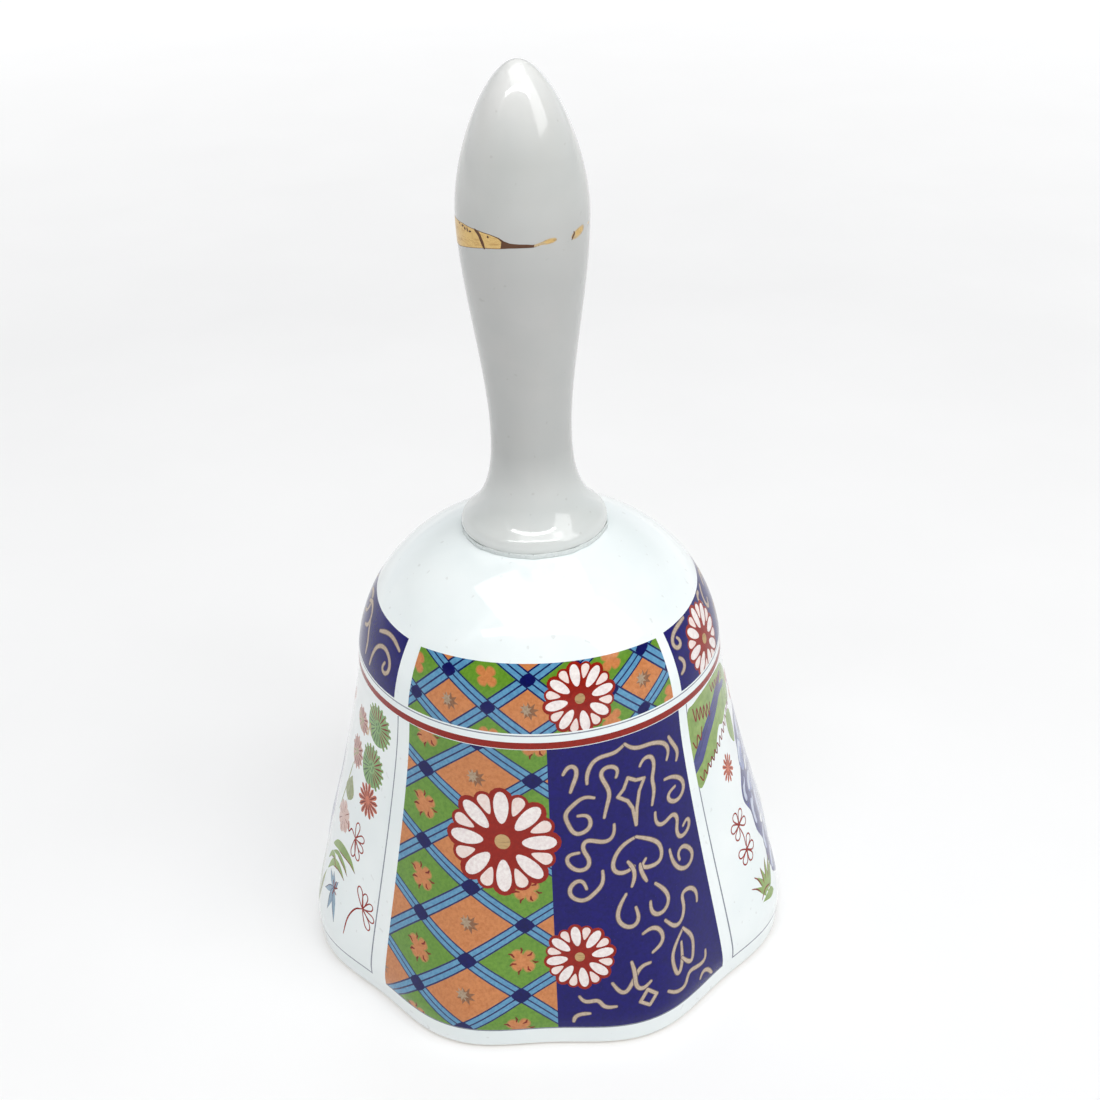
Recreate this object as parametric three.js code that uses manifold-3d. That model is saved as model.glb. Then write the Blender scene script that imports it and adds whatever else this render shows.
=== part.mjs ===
// Porcelain table bell. A lobed porcelain cup carries a hollow finial handle, and a porcelain
// bead clapper hangs inside it on two brass rings. Millimetres, +Z up. The origin is the
// centre of the flat foot of the rim, so the bell stands on z = 0.
import * as THREE from "three";
import { mergeVertices } from "three/addons/utils/BufferGeometryUtils.js";
import Module from "manifold-3d";

const wasm = await Module();
wasm.setup();

// ---------- driving dimensions ----------
const TOTAL_HEIGHT = 140;

const RIM_RADIUS = 39.7; // mean of crests and valleys, at the foot
const FLARE_RADIUS = 39.9; // widest mean radius, a little above the foot
const FLARE_Z = 4.9;
const LIP_SWELL = 0.7; // share of the widening reached halfway up the lip
const FLARE_PULL = 4.7; // how far the lip stands upright before it leans in
const WAIST_RADIUS = 28.85; // at the painted ring
const WAIST_Z = 50.3;
const WAIST_SLOPE = 0.08; // radius gained per millimetre down, at the waist
const WAIST_PULL_DOWN = 14.7;
const WAIST_PULL_UP = 9.9;
const CROWN_Z = 72.5; // top of the dome on the axis
const CROWN_REACH = 20.2; // how far the dome stays flat before it turns down
const WALL_RIM = 2.6;
const WALL_CROWN = 3.1;
const FOOT_EDGE = 0.8; // rounding of both edges of the foot

const LOBES = 8;
const LOBE_DEPTH = 1; // half of the height from valley to crest, at the foot
const LOBE_TOP_Z = 42; // the fluting has faded out here

const CROWN_BORE_RADIUS = 4.4; // hole in the dome for the plug
const FIT_GAP = 0.05; // between pieces bedded on each other
const BED_THICKNESS = 0.35; // cement between dome and collar
const BED_INNER_RADIUS = 5.2;
const BED_OUTER_RADIUS = 10.8;

const COLLAR_RADIUS = 11.15;
const COLLAR_EDGE = 0.5; // rounding under the collar
const COLLAR_TOP_RADIUS = 10.4; // the rounding above the collar's edge ends here
const COLLAR_TOP_Z = 73.7;
const COLLAR_PULL = 0.6;
const NECK_RADIUS = 6.05;
const NECK_Z = 87;
const BELLY_RADIUS = 9.3;
const BELLY_Z = 119.6;
const FLARE_TURN_RADIUS = 6.5; // the slope above the rounding leads towards here
const FLARE_TURN_Z = 76.8;
const NECK_PULL_DOWN = 5.1; // how far the neck stays straight below and above its thinnest place
const NECK_PULL_UP = 9.7;
const BELLY_PULL_DOWN = 9.8; // how far the belly stays upright below and above its widest place
const BELLY_PULL_UP = 9;
const TIP_REACH = 4.1; // how far the tip stays flat before it turns down
const HANDLE_BORE_RADIUS = 4.6; // mouth of the hollow handle
const HANDLE_WALL = 2.9;
const HANDLE_TOP_WALL = 5;
const CAVITY_WIDE_DROP = 2; // widest place of the cavity, below the belly
const CAVITY_PULL_UP = 8;
const CAVITY_PULL_DOWN = 7.6;
const CAVITY_TIP_REACH = 3;
const CAVITY_NECK_RISE = 2; // straight stretch of the cavity, about the neck
const CAVITY_NECK_DROP = 3;
const CAVITY_NECK_PULL = 9;
const MOUTH_RISE = 1; // upright lip of the mouth, above the plug
const MOUTH_TURN_Z = 81;

const PLUG_BOTTOM_Z = 68.8;
const PLUG_TOP_Z = 76;
const PLUG_EDGE = 0.5; // chamfer at both ends, and its width
const PLUG_EDGE_WIDTH = 1;
const PLUG_DIMPLE = 0.4; // the underside is lowest round the shank
const SHANK_RADIUS = 0.8;
const SHANK_TOP_Z = 74.5;

const RING_RADIUS = 2.45; // middle line of the eye, both links and the clapper's loop
const RING_WIRE_RADIUS = 0.35;
const RING_GAP = 0.04; // slack between a ring and the one it hangs on
const EYE_Z = 65.4;

const CLAPPER_WIRE_RADIUS = 0.6;
const BEAD_Z = 17;
const BEAD_RADIUS = 8;
const BEAD_FLAT_RADIUS = 2.6; // flat where a washer seats
const BEAD_BORE_RADIUS = 0.85;
const WASHER_RADIUS = 2.2;
const WASHER_THICKNESS = 0.5;
const WASHER_EDGE = 0.15;
const BUTTON_RADIUS = 1.4; // hammered end of the wire, under the lower washer
const BUTTON_HEIGHT = 1;
const BUTTON_TOP_SHARE = 0.9; // its radius under the washer, against its widest
const BUTTON_WIDEST_DROP = 0.35; // shares of its height
const BUTTON_LOWEST_SHARE = 0.75;
const BUTTON_LOWEST_DROP = 0.8;

const CUP_SEGMENTS = 64;
const TURNED_SEGMENTS = 28;
const SMALL_SEGMENTS = 16;

// ---------- materials ----------
const porcelain = () => new THREE.MeshStandardMaterial({ color: 0xeaf0f0, roughness: 0.12, metalness: 0 });
const cement = () => new THREE.MeshStandardMaterial({ color: 0x8f8a80, roughness: 0.9, metalness: 0 });
const plaster = () => new THREE.MeshStandardMaterial({ color: 0xd9d4c6, roughness: 0.95, metalness: 0 });
const brass = () => new THREE.MeshStandardMaterial({ color: 0xb8924a, roughness: 0.35, metalness: 1 });

// ---------- helpers ----------
const point = (r, z) => new THREE.Vector2(r, z);

// A cubic arc of an outline, without its first point.
function curve(from, controlA, controlB, to, steps) {
  return new THREE.CubicBezierCurve(from, controlA, controlB, to).getPoints(steps).slice(1);
}

// A quarter round in an outline, from angle a to angle b in degrees, without its first point.
function corner(centreR, centreZ, radius, a, b, steps) {
  const made = [];
  for (let i = 1; i <= steps; i += 1) {
    const angle = THREE.MathUtils.degToRad(a + ((b - a) * i) / steps);
    made.push(point(centreR + radius * Math.cos(angle), centreZ + radius * Math.sin(angle)));
  }
  return made;
}

// A solid of revolution about Z. The outline runs up on the outside and down on the inside.
function turned(outline, segments) {
  return new THREE.LatheGeometry(outline, segments).rotateX(Math.PI / 2);
}

function toSolid(geometry) {
  const bare = geometry.clone();
  bare.deleteAttribute("normal");
  bare.deleteAttribute("uv");
  const merged = mergeVertices(bare, 1e-4);
  return new wasm.Manifold(
    new wasm.Mesh({
      numProp: 3,
      vertProperties: new Float32Array(merged.attributes.position.array),
      triVerts: new Uint32Array(merged.index.array),
    }),
  );
}

function toGeometry(solid) {
  const mesh = solid.getMesh();
  const geometry = new THREE.BufferGeometry();
  geometry.setAttribute("position", new THREE.BufferAttribute(mesh.vertProperties, 3));
  geometry.setIndex(new THREE.BufferAttribute(mesh.triVerts, 1));
  geometry.computeVertexNormals();
  return geometry;
}

function joined(geometries) {
  return toGeometry(geometries.map(toSolid).reduce((sum, next) => sum.add(next)));
}

function part(name, geometry, material) {
  const mesh = new THREE.Mesh(geometry, material);
  mesh.name = name;
  return mesh;
}

// ---------- the cup ----------
const lerp = THREE.MathUtils.lerp;
const dome = new THREE.CubicBezierCurve(
  point(WAIST_RADIUS, WAIST_Z),
  point(WAIST_RADIUS - WAIST_SLOPE * WAIST_PULL_UP, WAIST_Z + WAIST_PULL_UP),
  point(CROWN_REACH, CROWN_Z),
  point(0, CROWN_Z),
);

// The parameter and the height of the dome's outer surface at a radius.
function domeAt(radius) {
  let low = 0;
  let high = 1;
  for (let i = 0; i < 40; i += 1) {
    const middle = (low + high) / 2;
    if (dome.getPoint(middle).x > radius) low = middle;
    else high = middle;
  }
  return { t: low, z: dome.getPoint(low).y };
}

// Outside of the cup, from the top of the foot's rounding up to the crown bore.
function cupOutside() {
  const flare = point(FLARE_RADIUS, FLARE_Z);
  const waist = point(WAIST_RADIUS, WAIST_Z);
  const points = [
    point(RIM_RADIUS, FOOT_EDGE),
    point(lerp(RIM_RADIUS, FLARE_RADIUS, LIP_SWELL), FLARE_Z / 2),
    flare,
    ...curve(
      flare,
      point(FLARE_RADIUS, FLARE_Z + FLARE_PULL),
      point(WAIST_RADIUS + WAIST_SLOPE * WAIST_PULL_DOWN, WAIST_Z - WAIST_PULL_DOWN),
      waist,
      9,
    ),
  ];
  const end = domeAt(CROWN_BORE_RADIUS).t;
  const steps = 9;
  for (let i = 1; i <= steps; i += 1) points.push(dome.getPoint((end * i) / steps));
  points[points.length - 1].x = CROWN_BORE_RADIUS;
  return points;
}

// The same outline set in by the wall, which is thickest at the crown.
function cupInside(outside) {
  return outside.map((p, i) => {
    const before = outside[Math.max(i - 1, 0)];
    const after = outside[Math.min(i + 1, outside.length - 1)];
    const along = after.clone().sub(before).normalize();
    const wall = lerp(WALL_RIM, WALL_CROWN, p.y / CROWN_Z);
    const inside = point(p.x - along.y * wall, p.y + along.x * wall);
    if (i === 0) inside.set(RIM_RADIUS - WALL_RIM, FOOT_EDGE);
    if (i === outside.length - 1) inside.x = CROWN_BORE_RADIUS;
    return inside;
  });
}

// Pushes a turned surface in and out so that its section has the cup's shallow lobes.
function addLobes(geometry) {
  const position = geometry.getAttribute("position");
  for (let i = 0; i < position.count; i += 1) {
    const x = position.getX(i);
    const y = position.getY(i);
    const z = position.getZ(i);
    const fade = z < LOBE_TOP_Z ? 0.5 * (1 + Math.cos((Math.PI * z) / LOBE_TOP_Z)) : 0;
    const radius = Math.hypot(x, y);
    const turn = Math.atan2(x, -y);
    const scale = 1 - (LOBE_DEPTH * fade * Math.cos(LOBES * turn)) / radius;
    position.setXYZ(i, x * scale, y * scale, z);
  }
  return geometry;
}

function bellCup() {
  const outside = cupOutside();
  const inside = cupInside(outside);
  const innerFoot = RIM_RADIUS - WALL_RIM + FOOT_EDGE;
  const outline = [
    point(RIM_RADIUS - FOOT_EDGE, 0),
    ...corner(RIM_RADIUS - FOOT_EDGE, FOOT_EDGE, FOOT_EDGE, -90, 0, 3).slice(0, -1),
    ...outside,
    ...inside.reverse(),
    ...corner(innerFoot, FOOT_EDGE, FOOT_EDGE, 180, 270, 3),
    point(RIM_RADIUS - FOOT_EDGE, 0),
  ];
  return addLobes(turned(outline, CUP_SEGMENTS));
}

// ---------- the handle and what joins it to the cup ----------
// Points along the dome from one radius to another, raised by a height.
function alongDome(fromRadius, toRadius, raise, steps) {
  const made = [];
  for (let i = 0; i <= steps; i += 1) {
    const radius = lerp(fromRadius, toRadius, i / steps);
    made.push(point(radius, domeAt(radius).z + raise));
  }
  return made;
}

function handle() {
  const underside = FIT_GAP + BED_THICKNESS + FIT_GAP;
  const collarIn = COLLAR_RADIUS - COLLAR_EDGE;
  const collarLow = domeAt(collarIn).z + underside;
  const boreRadius = NECK_RADIUS - HANDLE_WALL;
  const cavityTop = point(0, TOTAL_HEIGHT - HANDLE_TOP_WALL);
  const cavityWide = point(BELLY_RADIUS - HANDLE_WALL, BELLY_Z - CAVITY_WIDE_DROP);
  const cavityNeckTop = point(boreRadius, NECK_Z + CAVITY_NECK_RISE);
  const cavityNeck = point(boreRadius, NECK_Z - CAVITY_NECK_DROP);
  const mouth = point(HANDLE_BORE_RADIUS, PLUG_TOP_Z + MOUTH_RISE);
  const collarSide = point(COLLAR_RADIUS, collarLow + COLLAR_EDGE);
  const collarTop = point(COLLAR_TOP_RADIUS, COLLAR_TOP_Z);
  const neck = point(NECK_RADIUS, NECK_Z);
  const belly = point(BELLY_RADIUS, BELLY_Z);
  const tip = point(0, TOTAL_HEIGHT);
  const outline = [
    cavityTop,
    ...curve(
      cavityTop,
      point(CAVITY_TIP_REACH, cavityTop.y),
      point(cavityWide.x, cavityWide.y + CAVITY_PULL_UP),
      cavityWide,
      4,
    ),
    ...curve(
      cavityWide,
      point(cavityWide.x, cavityWide.y - CAVITY_PULL_DOWN),
      point(boreRadius, cavityNeckTop.y + CAVITY_NECK_PULL),
      cavityNeckTop,
      4,
    ),
    cavityNeck,
    ...curve(cavityNeck, point(boreRadius, MOUTH_TURN_Z), point(HANDLE_BORE_RADIUS, MOUTH_TURN_Z), mouth, 3),
    ...alongDome(HANDLE_BORE_RADIUS, collarIn, underside, 4),
    ...corner(collarIn, collarLow + COLLAR_EDGE, COLLAR_EDGE, -90, 0, 3),
    ...curve(
      collarSide,
      point(COLLAR_RADIUS, collarSide.y + COLLAR_PULL),
      point(COLLAR_TOP_RADIUS + COLLAR_EDGE, COLLAR_TOP_Z - COLLAR_PULL / 2),
      collarTop,
      3,
    ),
    ...curve(
      collarTop,
      point(FLARE_TURN_RADIUS, FLARE_TURN_Z),
      point(NECK_RADIUS, NECK_Z - NECK_PULL_DOWN),
      neck,
      7,
    ),
    ...curve(
      neck,
      point(NECK_RADIUS, NECK_Z + NECK_PULL_UP),
      point(BELLY_RADIUS, BELLY_Z - BELLY_PULL_DOWN),
      belly,
      7,
    ),
    ...curve(belly, point(BELLY_RADIUS, BELLY_Z + BELLY_PULL_UP), point(TIP_REACH, TOTAL_HEIGHT), tip, 9),
  ];
  return turned(outline, TURNED_SEGMENTS);
}

// Thin ring of cement between the dome and the underside of the collar.
function collarBed() {
  const low = alongDome(BED_INNER_RADIUS, BED_OUTER_RADIUS, FIT_GAP, 4);
  const high = alongDome(BED_INNER_RADIUS, BED_OUTER_RADIUS, FIT_GAP + BED_THICKNESS, 4);
  return turned([...low, ...high.reverse(), low[0].clone()], TURNED_SEGMENTS);
}

// Plaster cast through the crown bore into the handle, with a blind hole for the eye's shank.
function crownPlug() {
  const radius = CROWN_BORE_RADIUS - FIT_GAP;
  const hole = SHANK_RADIUS + FIT_GAP;
  const outline = [
    point(0, SHANK_TOP_Z + FIT_GAP),
    point(hole, SHANK_TOP_Z + FIT_GAP),
    point(hole, PLUG_BOTTOM_Z - PLUG_DIMPLE),
    point(radius - PLUG_EDGE_WIDTH, PLUG_BOTTOM_Z - PLUG_DIMPLE / 2),
    point(radius, PLUG_BOTTOM_Z + PLUG_EDGE),
    point(radius, PLUG_TOP_Z - PLUG_EDGE),
    point(radius - PLUG_EDGE_WIDTH, PLUG_TOP_Z),
    point(0, PLUG_TOP_Z),
  ];
  return turned(outline, SMALL_SEGMENTS);
}

// ---------- the brass hanger and chain ----------
// A wire ring standing upright on its edge, in the XZ plane or turned into the YZ plane.
function ring(z, crosswise) {
  const made = new THREE.TorusGeometry(RING_RADIUS, RING_WIRE_RADIUS, 8, 24).rotateX(Math.PI / 2);
  if (crosswise) made.rotateZ(Math.PI / 2);
  return made.translate(0, 0, z);
}

function rod(radius, fromZ, toZ, segments) {
  const made = new THREE.CylinderGeometry(radius, radius, toZ - fromZ, segments, 1);
  return made.rotateX(Math.PI / 2).translate(0, 0, (fromZ + toZ) / 2);
}

// Each ring hangs on the one above, wire on wire.
const LINK_DROP = 2 * RING_RADIUS - 2 * RING_WIRE_RADIUS - RING_GAP;
const UPPER_LINK_Z = EYE_Z - LINK_DROP;
const LOWER_LINK_Z = UPPER_LINK_Z - LINK_DROP;
const LOOP_Z = LOWER_LINK_Z - LINK_DROP;

function hangerEye() {
  return joined([ring(EYE_Z, false), rod(SHANK_RADIUS, EYE_Z + RING_RADIUS, SHANK_TOP_Z, 14)]);
}

// ---------- the clapper ----------
const BEAD_HALF = Math.sqrt(BEAD_RADIUS ** 2 - BEAD_FLAT_RADIUS ** 2);
const BUTTON_TOP_Z = BEAD_Z - BEAD_HALF - WASHER_THICKNESS - 2 * FIT_GAP;

// One wire: a loop at the top, a straight stem and a hammered button at the bottom.
function clapperWire() {
  const button = [
    point(0, BUTTON_TOP_Z - BUTTON_HEIGHT),
    point(BUTTON_RADIUS * BUTTON_LOWEST_SHARE, BUTTON_TOP_Z - BUTTON_HEIGHT * BUTTON_LOWEST_DROP),
    point(BUTTON_RADIUS, BUTTON_TOP_Z - BUTTON_HEIGHT * BUTTON_WIDEST_DROP),
    point(BUTTON_RADIUS * BUTTON_TOP_SHARE, BUTTON_TOP_Z),
    point(0, BUTTON_TOP_Z),
  ];
  return joined([
    ring(LOOP_Z, true),
    rod(CLAPPER_WIRE_RADIUS, BUTTON_TOP_Z - BUTTON_HEIGHT / 2, LOOP_Z - RING_RADIUS, 12),
    turned(button, SMALL_SEGMENTS),
  ]);
}

// A ball with a bore along the wire and a small flat round each end of it.
function clapperBead() {
  const start = THREE.MathUtils.radToDeg(Math.asin(BEAD_HALF / BEAD_RADIUS));
  const outline = [
    point(BEAD_BORE_RADIUS, BEAD_Z - BEAD_HALF),
    point(BEAD_FLAT_RADIUS, BEAD_Z - BEAD_HALF),
    ...corner(0, BEAD_Z, BEAD_RADIUS, -start, start, 11),
    point(BEAD_BORE_RADIUS, BEAD_Z + BEAD_HALF),
    point(BEAD_BORE_RADIUS, BEAD_Z - BEAD_HALF),
  ];
  return turned(outline, TURNED_SEGMENTS);
}

function washer(lowZ) {
  const highZ = lowZ + WASHER_THICKNESS;
  const outline = [
    point(BEAD_BORE_RADIUS, lowZ),
    point(WASHER_RADIUS - WASHER_EDGE, lowZ),
    point(WASHER_RADIUS, lowZ + WASHER_EDGE),
    point(WASHER_RADIUS, highZ - WASHER_EDGE),
    point(WASHER_RADIUS - WASHER_EDGE, highZ),
    point(BEAD_BORE_RADIUS, highZ),
    point(BEAD_BORE_RADIUS, lowZ),
  ];
  return turned(outline, SMALL_SEGMENTS);
}

// ---------- assembly ----------
const clapper = new THREE.Group();
clapper.add(
  part("clapper_wire", clapperWire(), brass()),
  part("clapper_bead", clapperBead(), porcelain()),
  part("bead_washer_upper", washer(BEAD_Z + BEAD_HALF + FIT_GAP), brass()),
  part("bead_washer_lower", washer(BEAD_Z - BEAD_HALF - FIT_GAP - WASHER_THICKNESS), brass()),
);

const bell = new THREE.Group();
bell.add(
  part("bell_cup", bellCup(), porcelain()),
  part("handle", handle(), porcelain()),
  part("collar_bed", collarBed(), cement()),
  part("crown_plug", crownPlug(), plaster()),
  part("hanger_eye", hangerEye(), brass()),
  part("chain_link_upper", ring(UPPER_LINK_Z, true), brass()),
  part("chain_link_lower", ring(LOWER_LINK_Z, false), brass()),
  clapper,
);

export default bell;
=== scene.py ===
"""Porcelain hand bell: fine glazed surfaces, painted enamels and brass fittings round the CAD frame."""

import math

import bpy
import numpy as np
from mathutils import Matrix, Vector
from mathutils.geometry import delaunay_2d_cdt


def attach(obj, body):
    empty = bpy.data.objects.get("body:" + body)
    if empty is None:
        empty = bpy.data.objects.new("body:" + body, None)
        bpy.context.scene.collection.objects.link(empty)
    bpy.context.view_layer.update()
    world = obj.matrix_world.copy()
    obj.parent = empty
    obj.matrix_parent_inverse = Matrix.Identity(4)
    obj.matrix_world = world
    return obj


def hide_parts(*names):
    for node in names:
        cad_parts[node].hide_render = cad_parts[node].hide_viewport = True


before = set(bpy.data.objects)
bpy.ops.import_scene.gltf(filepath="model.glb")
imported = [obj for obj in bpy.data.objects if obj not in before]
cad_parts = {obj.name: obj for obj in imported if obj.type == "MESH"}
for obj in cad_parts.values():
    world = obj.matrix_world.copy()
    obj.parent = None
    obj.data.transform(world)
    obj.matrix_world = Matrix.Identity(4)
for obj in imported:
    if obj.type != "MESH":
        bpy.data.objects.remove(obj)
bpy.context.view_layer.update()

MM = 0.001
TAU = 2 * math.pi

# ---------- sizes of the porcelain, in millimetres, as in the CAD model ----------
TOTAL_HEIGHT = 140.0
RIM_RADIUS = 39.7
FLARE_RADIUS = 39.9
FLARE_Z = 4.9
FLARE_PULL = 4.7
WAIST_RADIUS = 28.85
WAIST_Z = 50.3
WAIST_SLOPE = 0.08
WAIST_PULL_DOWN = 14.7
WAIST_PULL_UP = 9.9
CROWN_Z = 72.5
CROWN_REACH = 20.2
WALL_RIM = 2.6
WALL_CROWN = 3.1
FOOT_EDGE = 0.8
LOBES = 8
LOBE_DEPTH = 1.0
LOBE_TOP_Z = 42.0
CROWN_BORE_RADIUS = 4.4
FIT_GAP = 0.05
BED_THICKNESS = 0.35
BED_INNER_RADIUS = 5.2
BED_OUTER_RADIUS = 10.8
COLLAR_RADIUS = 11.15
COLLAR_EDGE = 0.5
COLLAR_TOP_RADIUS = 10.4
COLLAR_TOP_Z = 73.7
COLLAR_PULL = 0.6
NECK_RADIUS = 6.05
NECK_Z = 87.0
BELLY_RADIUS = 9.3
BELLY_Z = 119.6
FLARE_TURN_RADIUS = 6.5
FLARE_TURN_Z = 76.8
NECK_PULL_DOWN = 5.1
NECK_PULL_UP = 9.7
BELLY_PULL_DOWN = 9.8
BELLY_PULL_UP = 9.0
TIP_REACH = 4.1
HANDLE_BORE_RADIUS = 4.6
HANDLE_WALL = 2.9
HANDLE_TOP_WALL = 5.0
RING_WIRE_RADIUS = 0.35

CUP_SEGMENTS = 288
HANDLE_SEGMENTS = 144


# ---------- outlines ----------
def cubic(a, b, c, d, steps):
    """Points of a cubic arc from a to d, both ends included."""
    t = np.linspace(0, 1, steps + 1)[:, None]
    a, b, c, d = (np.array(p, float) for p in (a, b, c, d))
    return (1 - t) ** 3 * a + 3 * (1 - t) ** 2 * t * b + 3 * (1 - t) * t * t * c + t**3 * d


def corner(centre_r, centre_z, radius, start, end, steps):
    """A quarter round between two angles in degrees, without its first point."""
    angles = np.radians(np.linspace(start, end, steps + 1)[1:])
    return np.stack([centre_r + radius * np.cos(angles), centre_z + radius * np.sin(angles)], 1)


def joined(*parts):
    """One outline from several, with repeated points dropped."""
    points = np.vstack(parts)
    far = np.hypot(*np.diff(points, axis=0).T) > 1e-6
    return points[np.r_[True, far]]


def flare_curve(steps):
    return cubic(
        (FLARE_RADIUS, FLARE_Z),
        (FLARE_RADIUS, FLARE_Z + FLARE_PULL),
        (WAIST_RADIUS + WAIST_SLOPE * WAIST_PULL_DOWN, WAIST_Z - WAIST_PULL_DOWN),
        (WAIST_RADIUS, WAIST_Z),
        steps,
    )


def dome_curve(steps):
    return cubic(
        (WAIST_RADIUS, WAIST_Z),
        (WAIST_RADIUS - WAIST_SLOPE * WAIST_PULL_UP, WAIST_Z + WAIST_PULL_UP),
        (CROWN_REACH, CROWN_Z),
        (0, CROWN_Z),
        steps,
    )


def dome_z(radius):
    """Height of the dome at a radius."""
    dome = dome_curve(400)[::-1]
    return np.interp(radius, dome[:, 0], dome[:, 1])


class Profile:
    """An outline measured along its length, from a zero point on it."""

    def __init__(self, points, zero_z):
        self.points = points
        steps = np.hypot(*np.diff(points, axis=0).T)
        self.along = np.r_[0, np.cumsum(steps)]
        self.along -= np.interp(zero_z, points[:, 1], self.along)

    def at(self, distance):
        r = np.interp(distance, self.along, self.points[:, 0])
        z = np.interp(distance, self.along, self.points[:, 1])
        return r, z

    def span(self, low, high, spacing):
        """Distances from low to high, both included, at about a spacing."""
        return np.linspace(low, high, max(2, int(round((high - low) / spacing)) + 1))


def cup_profile():
    rim = cubic(
        (RIM_RADIUS, FOOT_EDGE),
        (RIM_RADIUS + 0.07, FOOT_EDGE + 1.3),
        (FLARE_RADIUS, FLARE_Z - 1.4),
        (FLARE_RADIUS, FLARE_Z),
        40,
    )
    dome = dome_curve(900)
    dome = dome[dome[:, 0] > CROWN_BORE_RADIUS]
    dome = np.vstack([dome, (CROWN_BORE_RADIUS, dome_z(CROWN_BORE_RADIUS))])
    return Profile(joined(rim, flare_curve(900), dome), WAIST_Z)


def handle_profile():
    side_z = dome_z(COLLAR_RADIUS - COLLAR_EDGE) + 2 * FIT_GAP + BED_THICKNESS + COLLAR_EDGE
    top = (COLLAR_TOP_RADIUS, COLLAR_TOP_Z)
    neck = (NECK_RADIUS, NECK_Z)
    belly = (BELLY_RADIUS, BELLY_Z)
    rounding = cubic((COLLAR_RADIUS, side_z), (COLLAR_RADIUS, side_z + COLLAR_PULL),
                     (COLLAR_TOP_RADIUS + COLLAR_EDGE, COLLAR_TOP_Z - COLLAR_PULL / 2), top, 40)
    flare = cubic(top, (FLARE_TURN_RADIUS, FLARE_TURN_Z), (NECK_RADIUS, NECK_Z - NECK_PULL_DOWN), neck, 300)
    grip = cubic(neck, (NECK_RADIUS, NECK_Z + NECK_PULL_UP), (BELLY_RADIUS, BELLY_Z - BELLY_PULL_DOWN),
                 belly, 300)
    tip = cubic(belly, (BELLY_RADIUS, BELLY_Z + BELLY_PULL_UP), (TIP_REACH, TOTAL_HEIGHT),
                (0, TOTAL_HEIGHT), 300)
    return Profile(joined(rounding, flare, grip, tip), BELLY_Z)


CUP = cup_profile()
HANDLE = handle_profile()


def lobe_depth(z):
    """How deep the fluting is at a height."""
    share = np.clip(z, 0, LOBE_TOP_Z) / LOBE_TOP_Z
    return np.where(z < LOBE_TOP_Z, LOBE_DEPTH * 0.5 * (1 + np.cos(np.pi * share)), 0)


def turn(r, z, azimuth, lobed):
    """Points at a radius, height and azimuth: azimuth 0 faces -Y, and 90 degrees faces +X."""
    r = r - lobe_depth(z) * np.cos(LOBES * azimuth) if lobed else r
    return np.stack([r * np.sin(azimuth), -r * np.cos(azimuth), z + 0 * azimuth], -1)


# ---------- painted surfaces ----------
def clip(polygon, axis, limit, keep_above):
    """The part of a polygon on one side of an axis-aligned line."""
    sign = 1 if keep_above else -1
    side = sign * (polygon[:, axis] - limit)
    made = []
    for i in range(len(polygon)):
        j = (i + 1) % len(polygon)
        if side[i] >= 0:
            made.append(polygon[i])
        if side[i] * side[j] < 0:
            cut = polygon[i] + (polygon[j] - polygon[i]) * side[i] / (side[i] - side[j])
            cut[axis] = limit
            made.append(cut)
    return np.array(made)


def densified(polygon, step):
    """The closed polygon with no edge longer than a step."""
    made = []
    for a, b in zip(polygon, np.roll(polygon, -1, axis=0)):
        pieces = max(1, math.ceil(np.hypot(*(b - a)) / step))
        made.append(a + (b - a) * np.arange(pieces)[:, None] / pieces)
    return np.vstack(made)


def inside(points, polygon):
    """Which points a polygon winds around."""
    x, y = points[:, 0, None], points[:, 1, None]
    a, b = polygon, np.roll(polygon, -1, axis=0)
    left = (b[:, 0] - a[:, 0]) * (y - a[:, 1]) - (x - a[:, 0]) * (b[:, 1] - a[:, 1])
    up = (a[:, 1] <= y) & (b[:, 1] > y) & (left > 0)
    down = (a[:, 1] > y) & (b[:, 1] <= y) & (left < 0)
    return up.sum(1) != down.sum(1)


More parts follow.
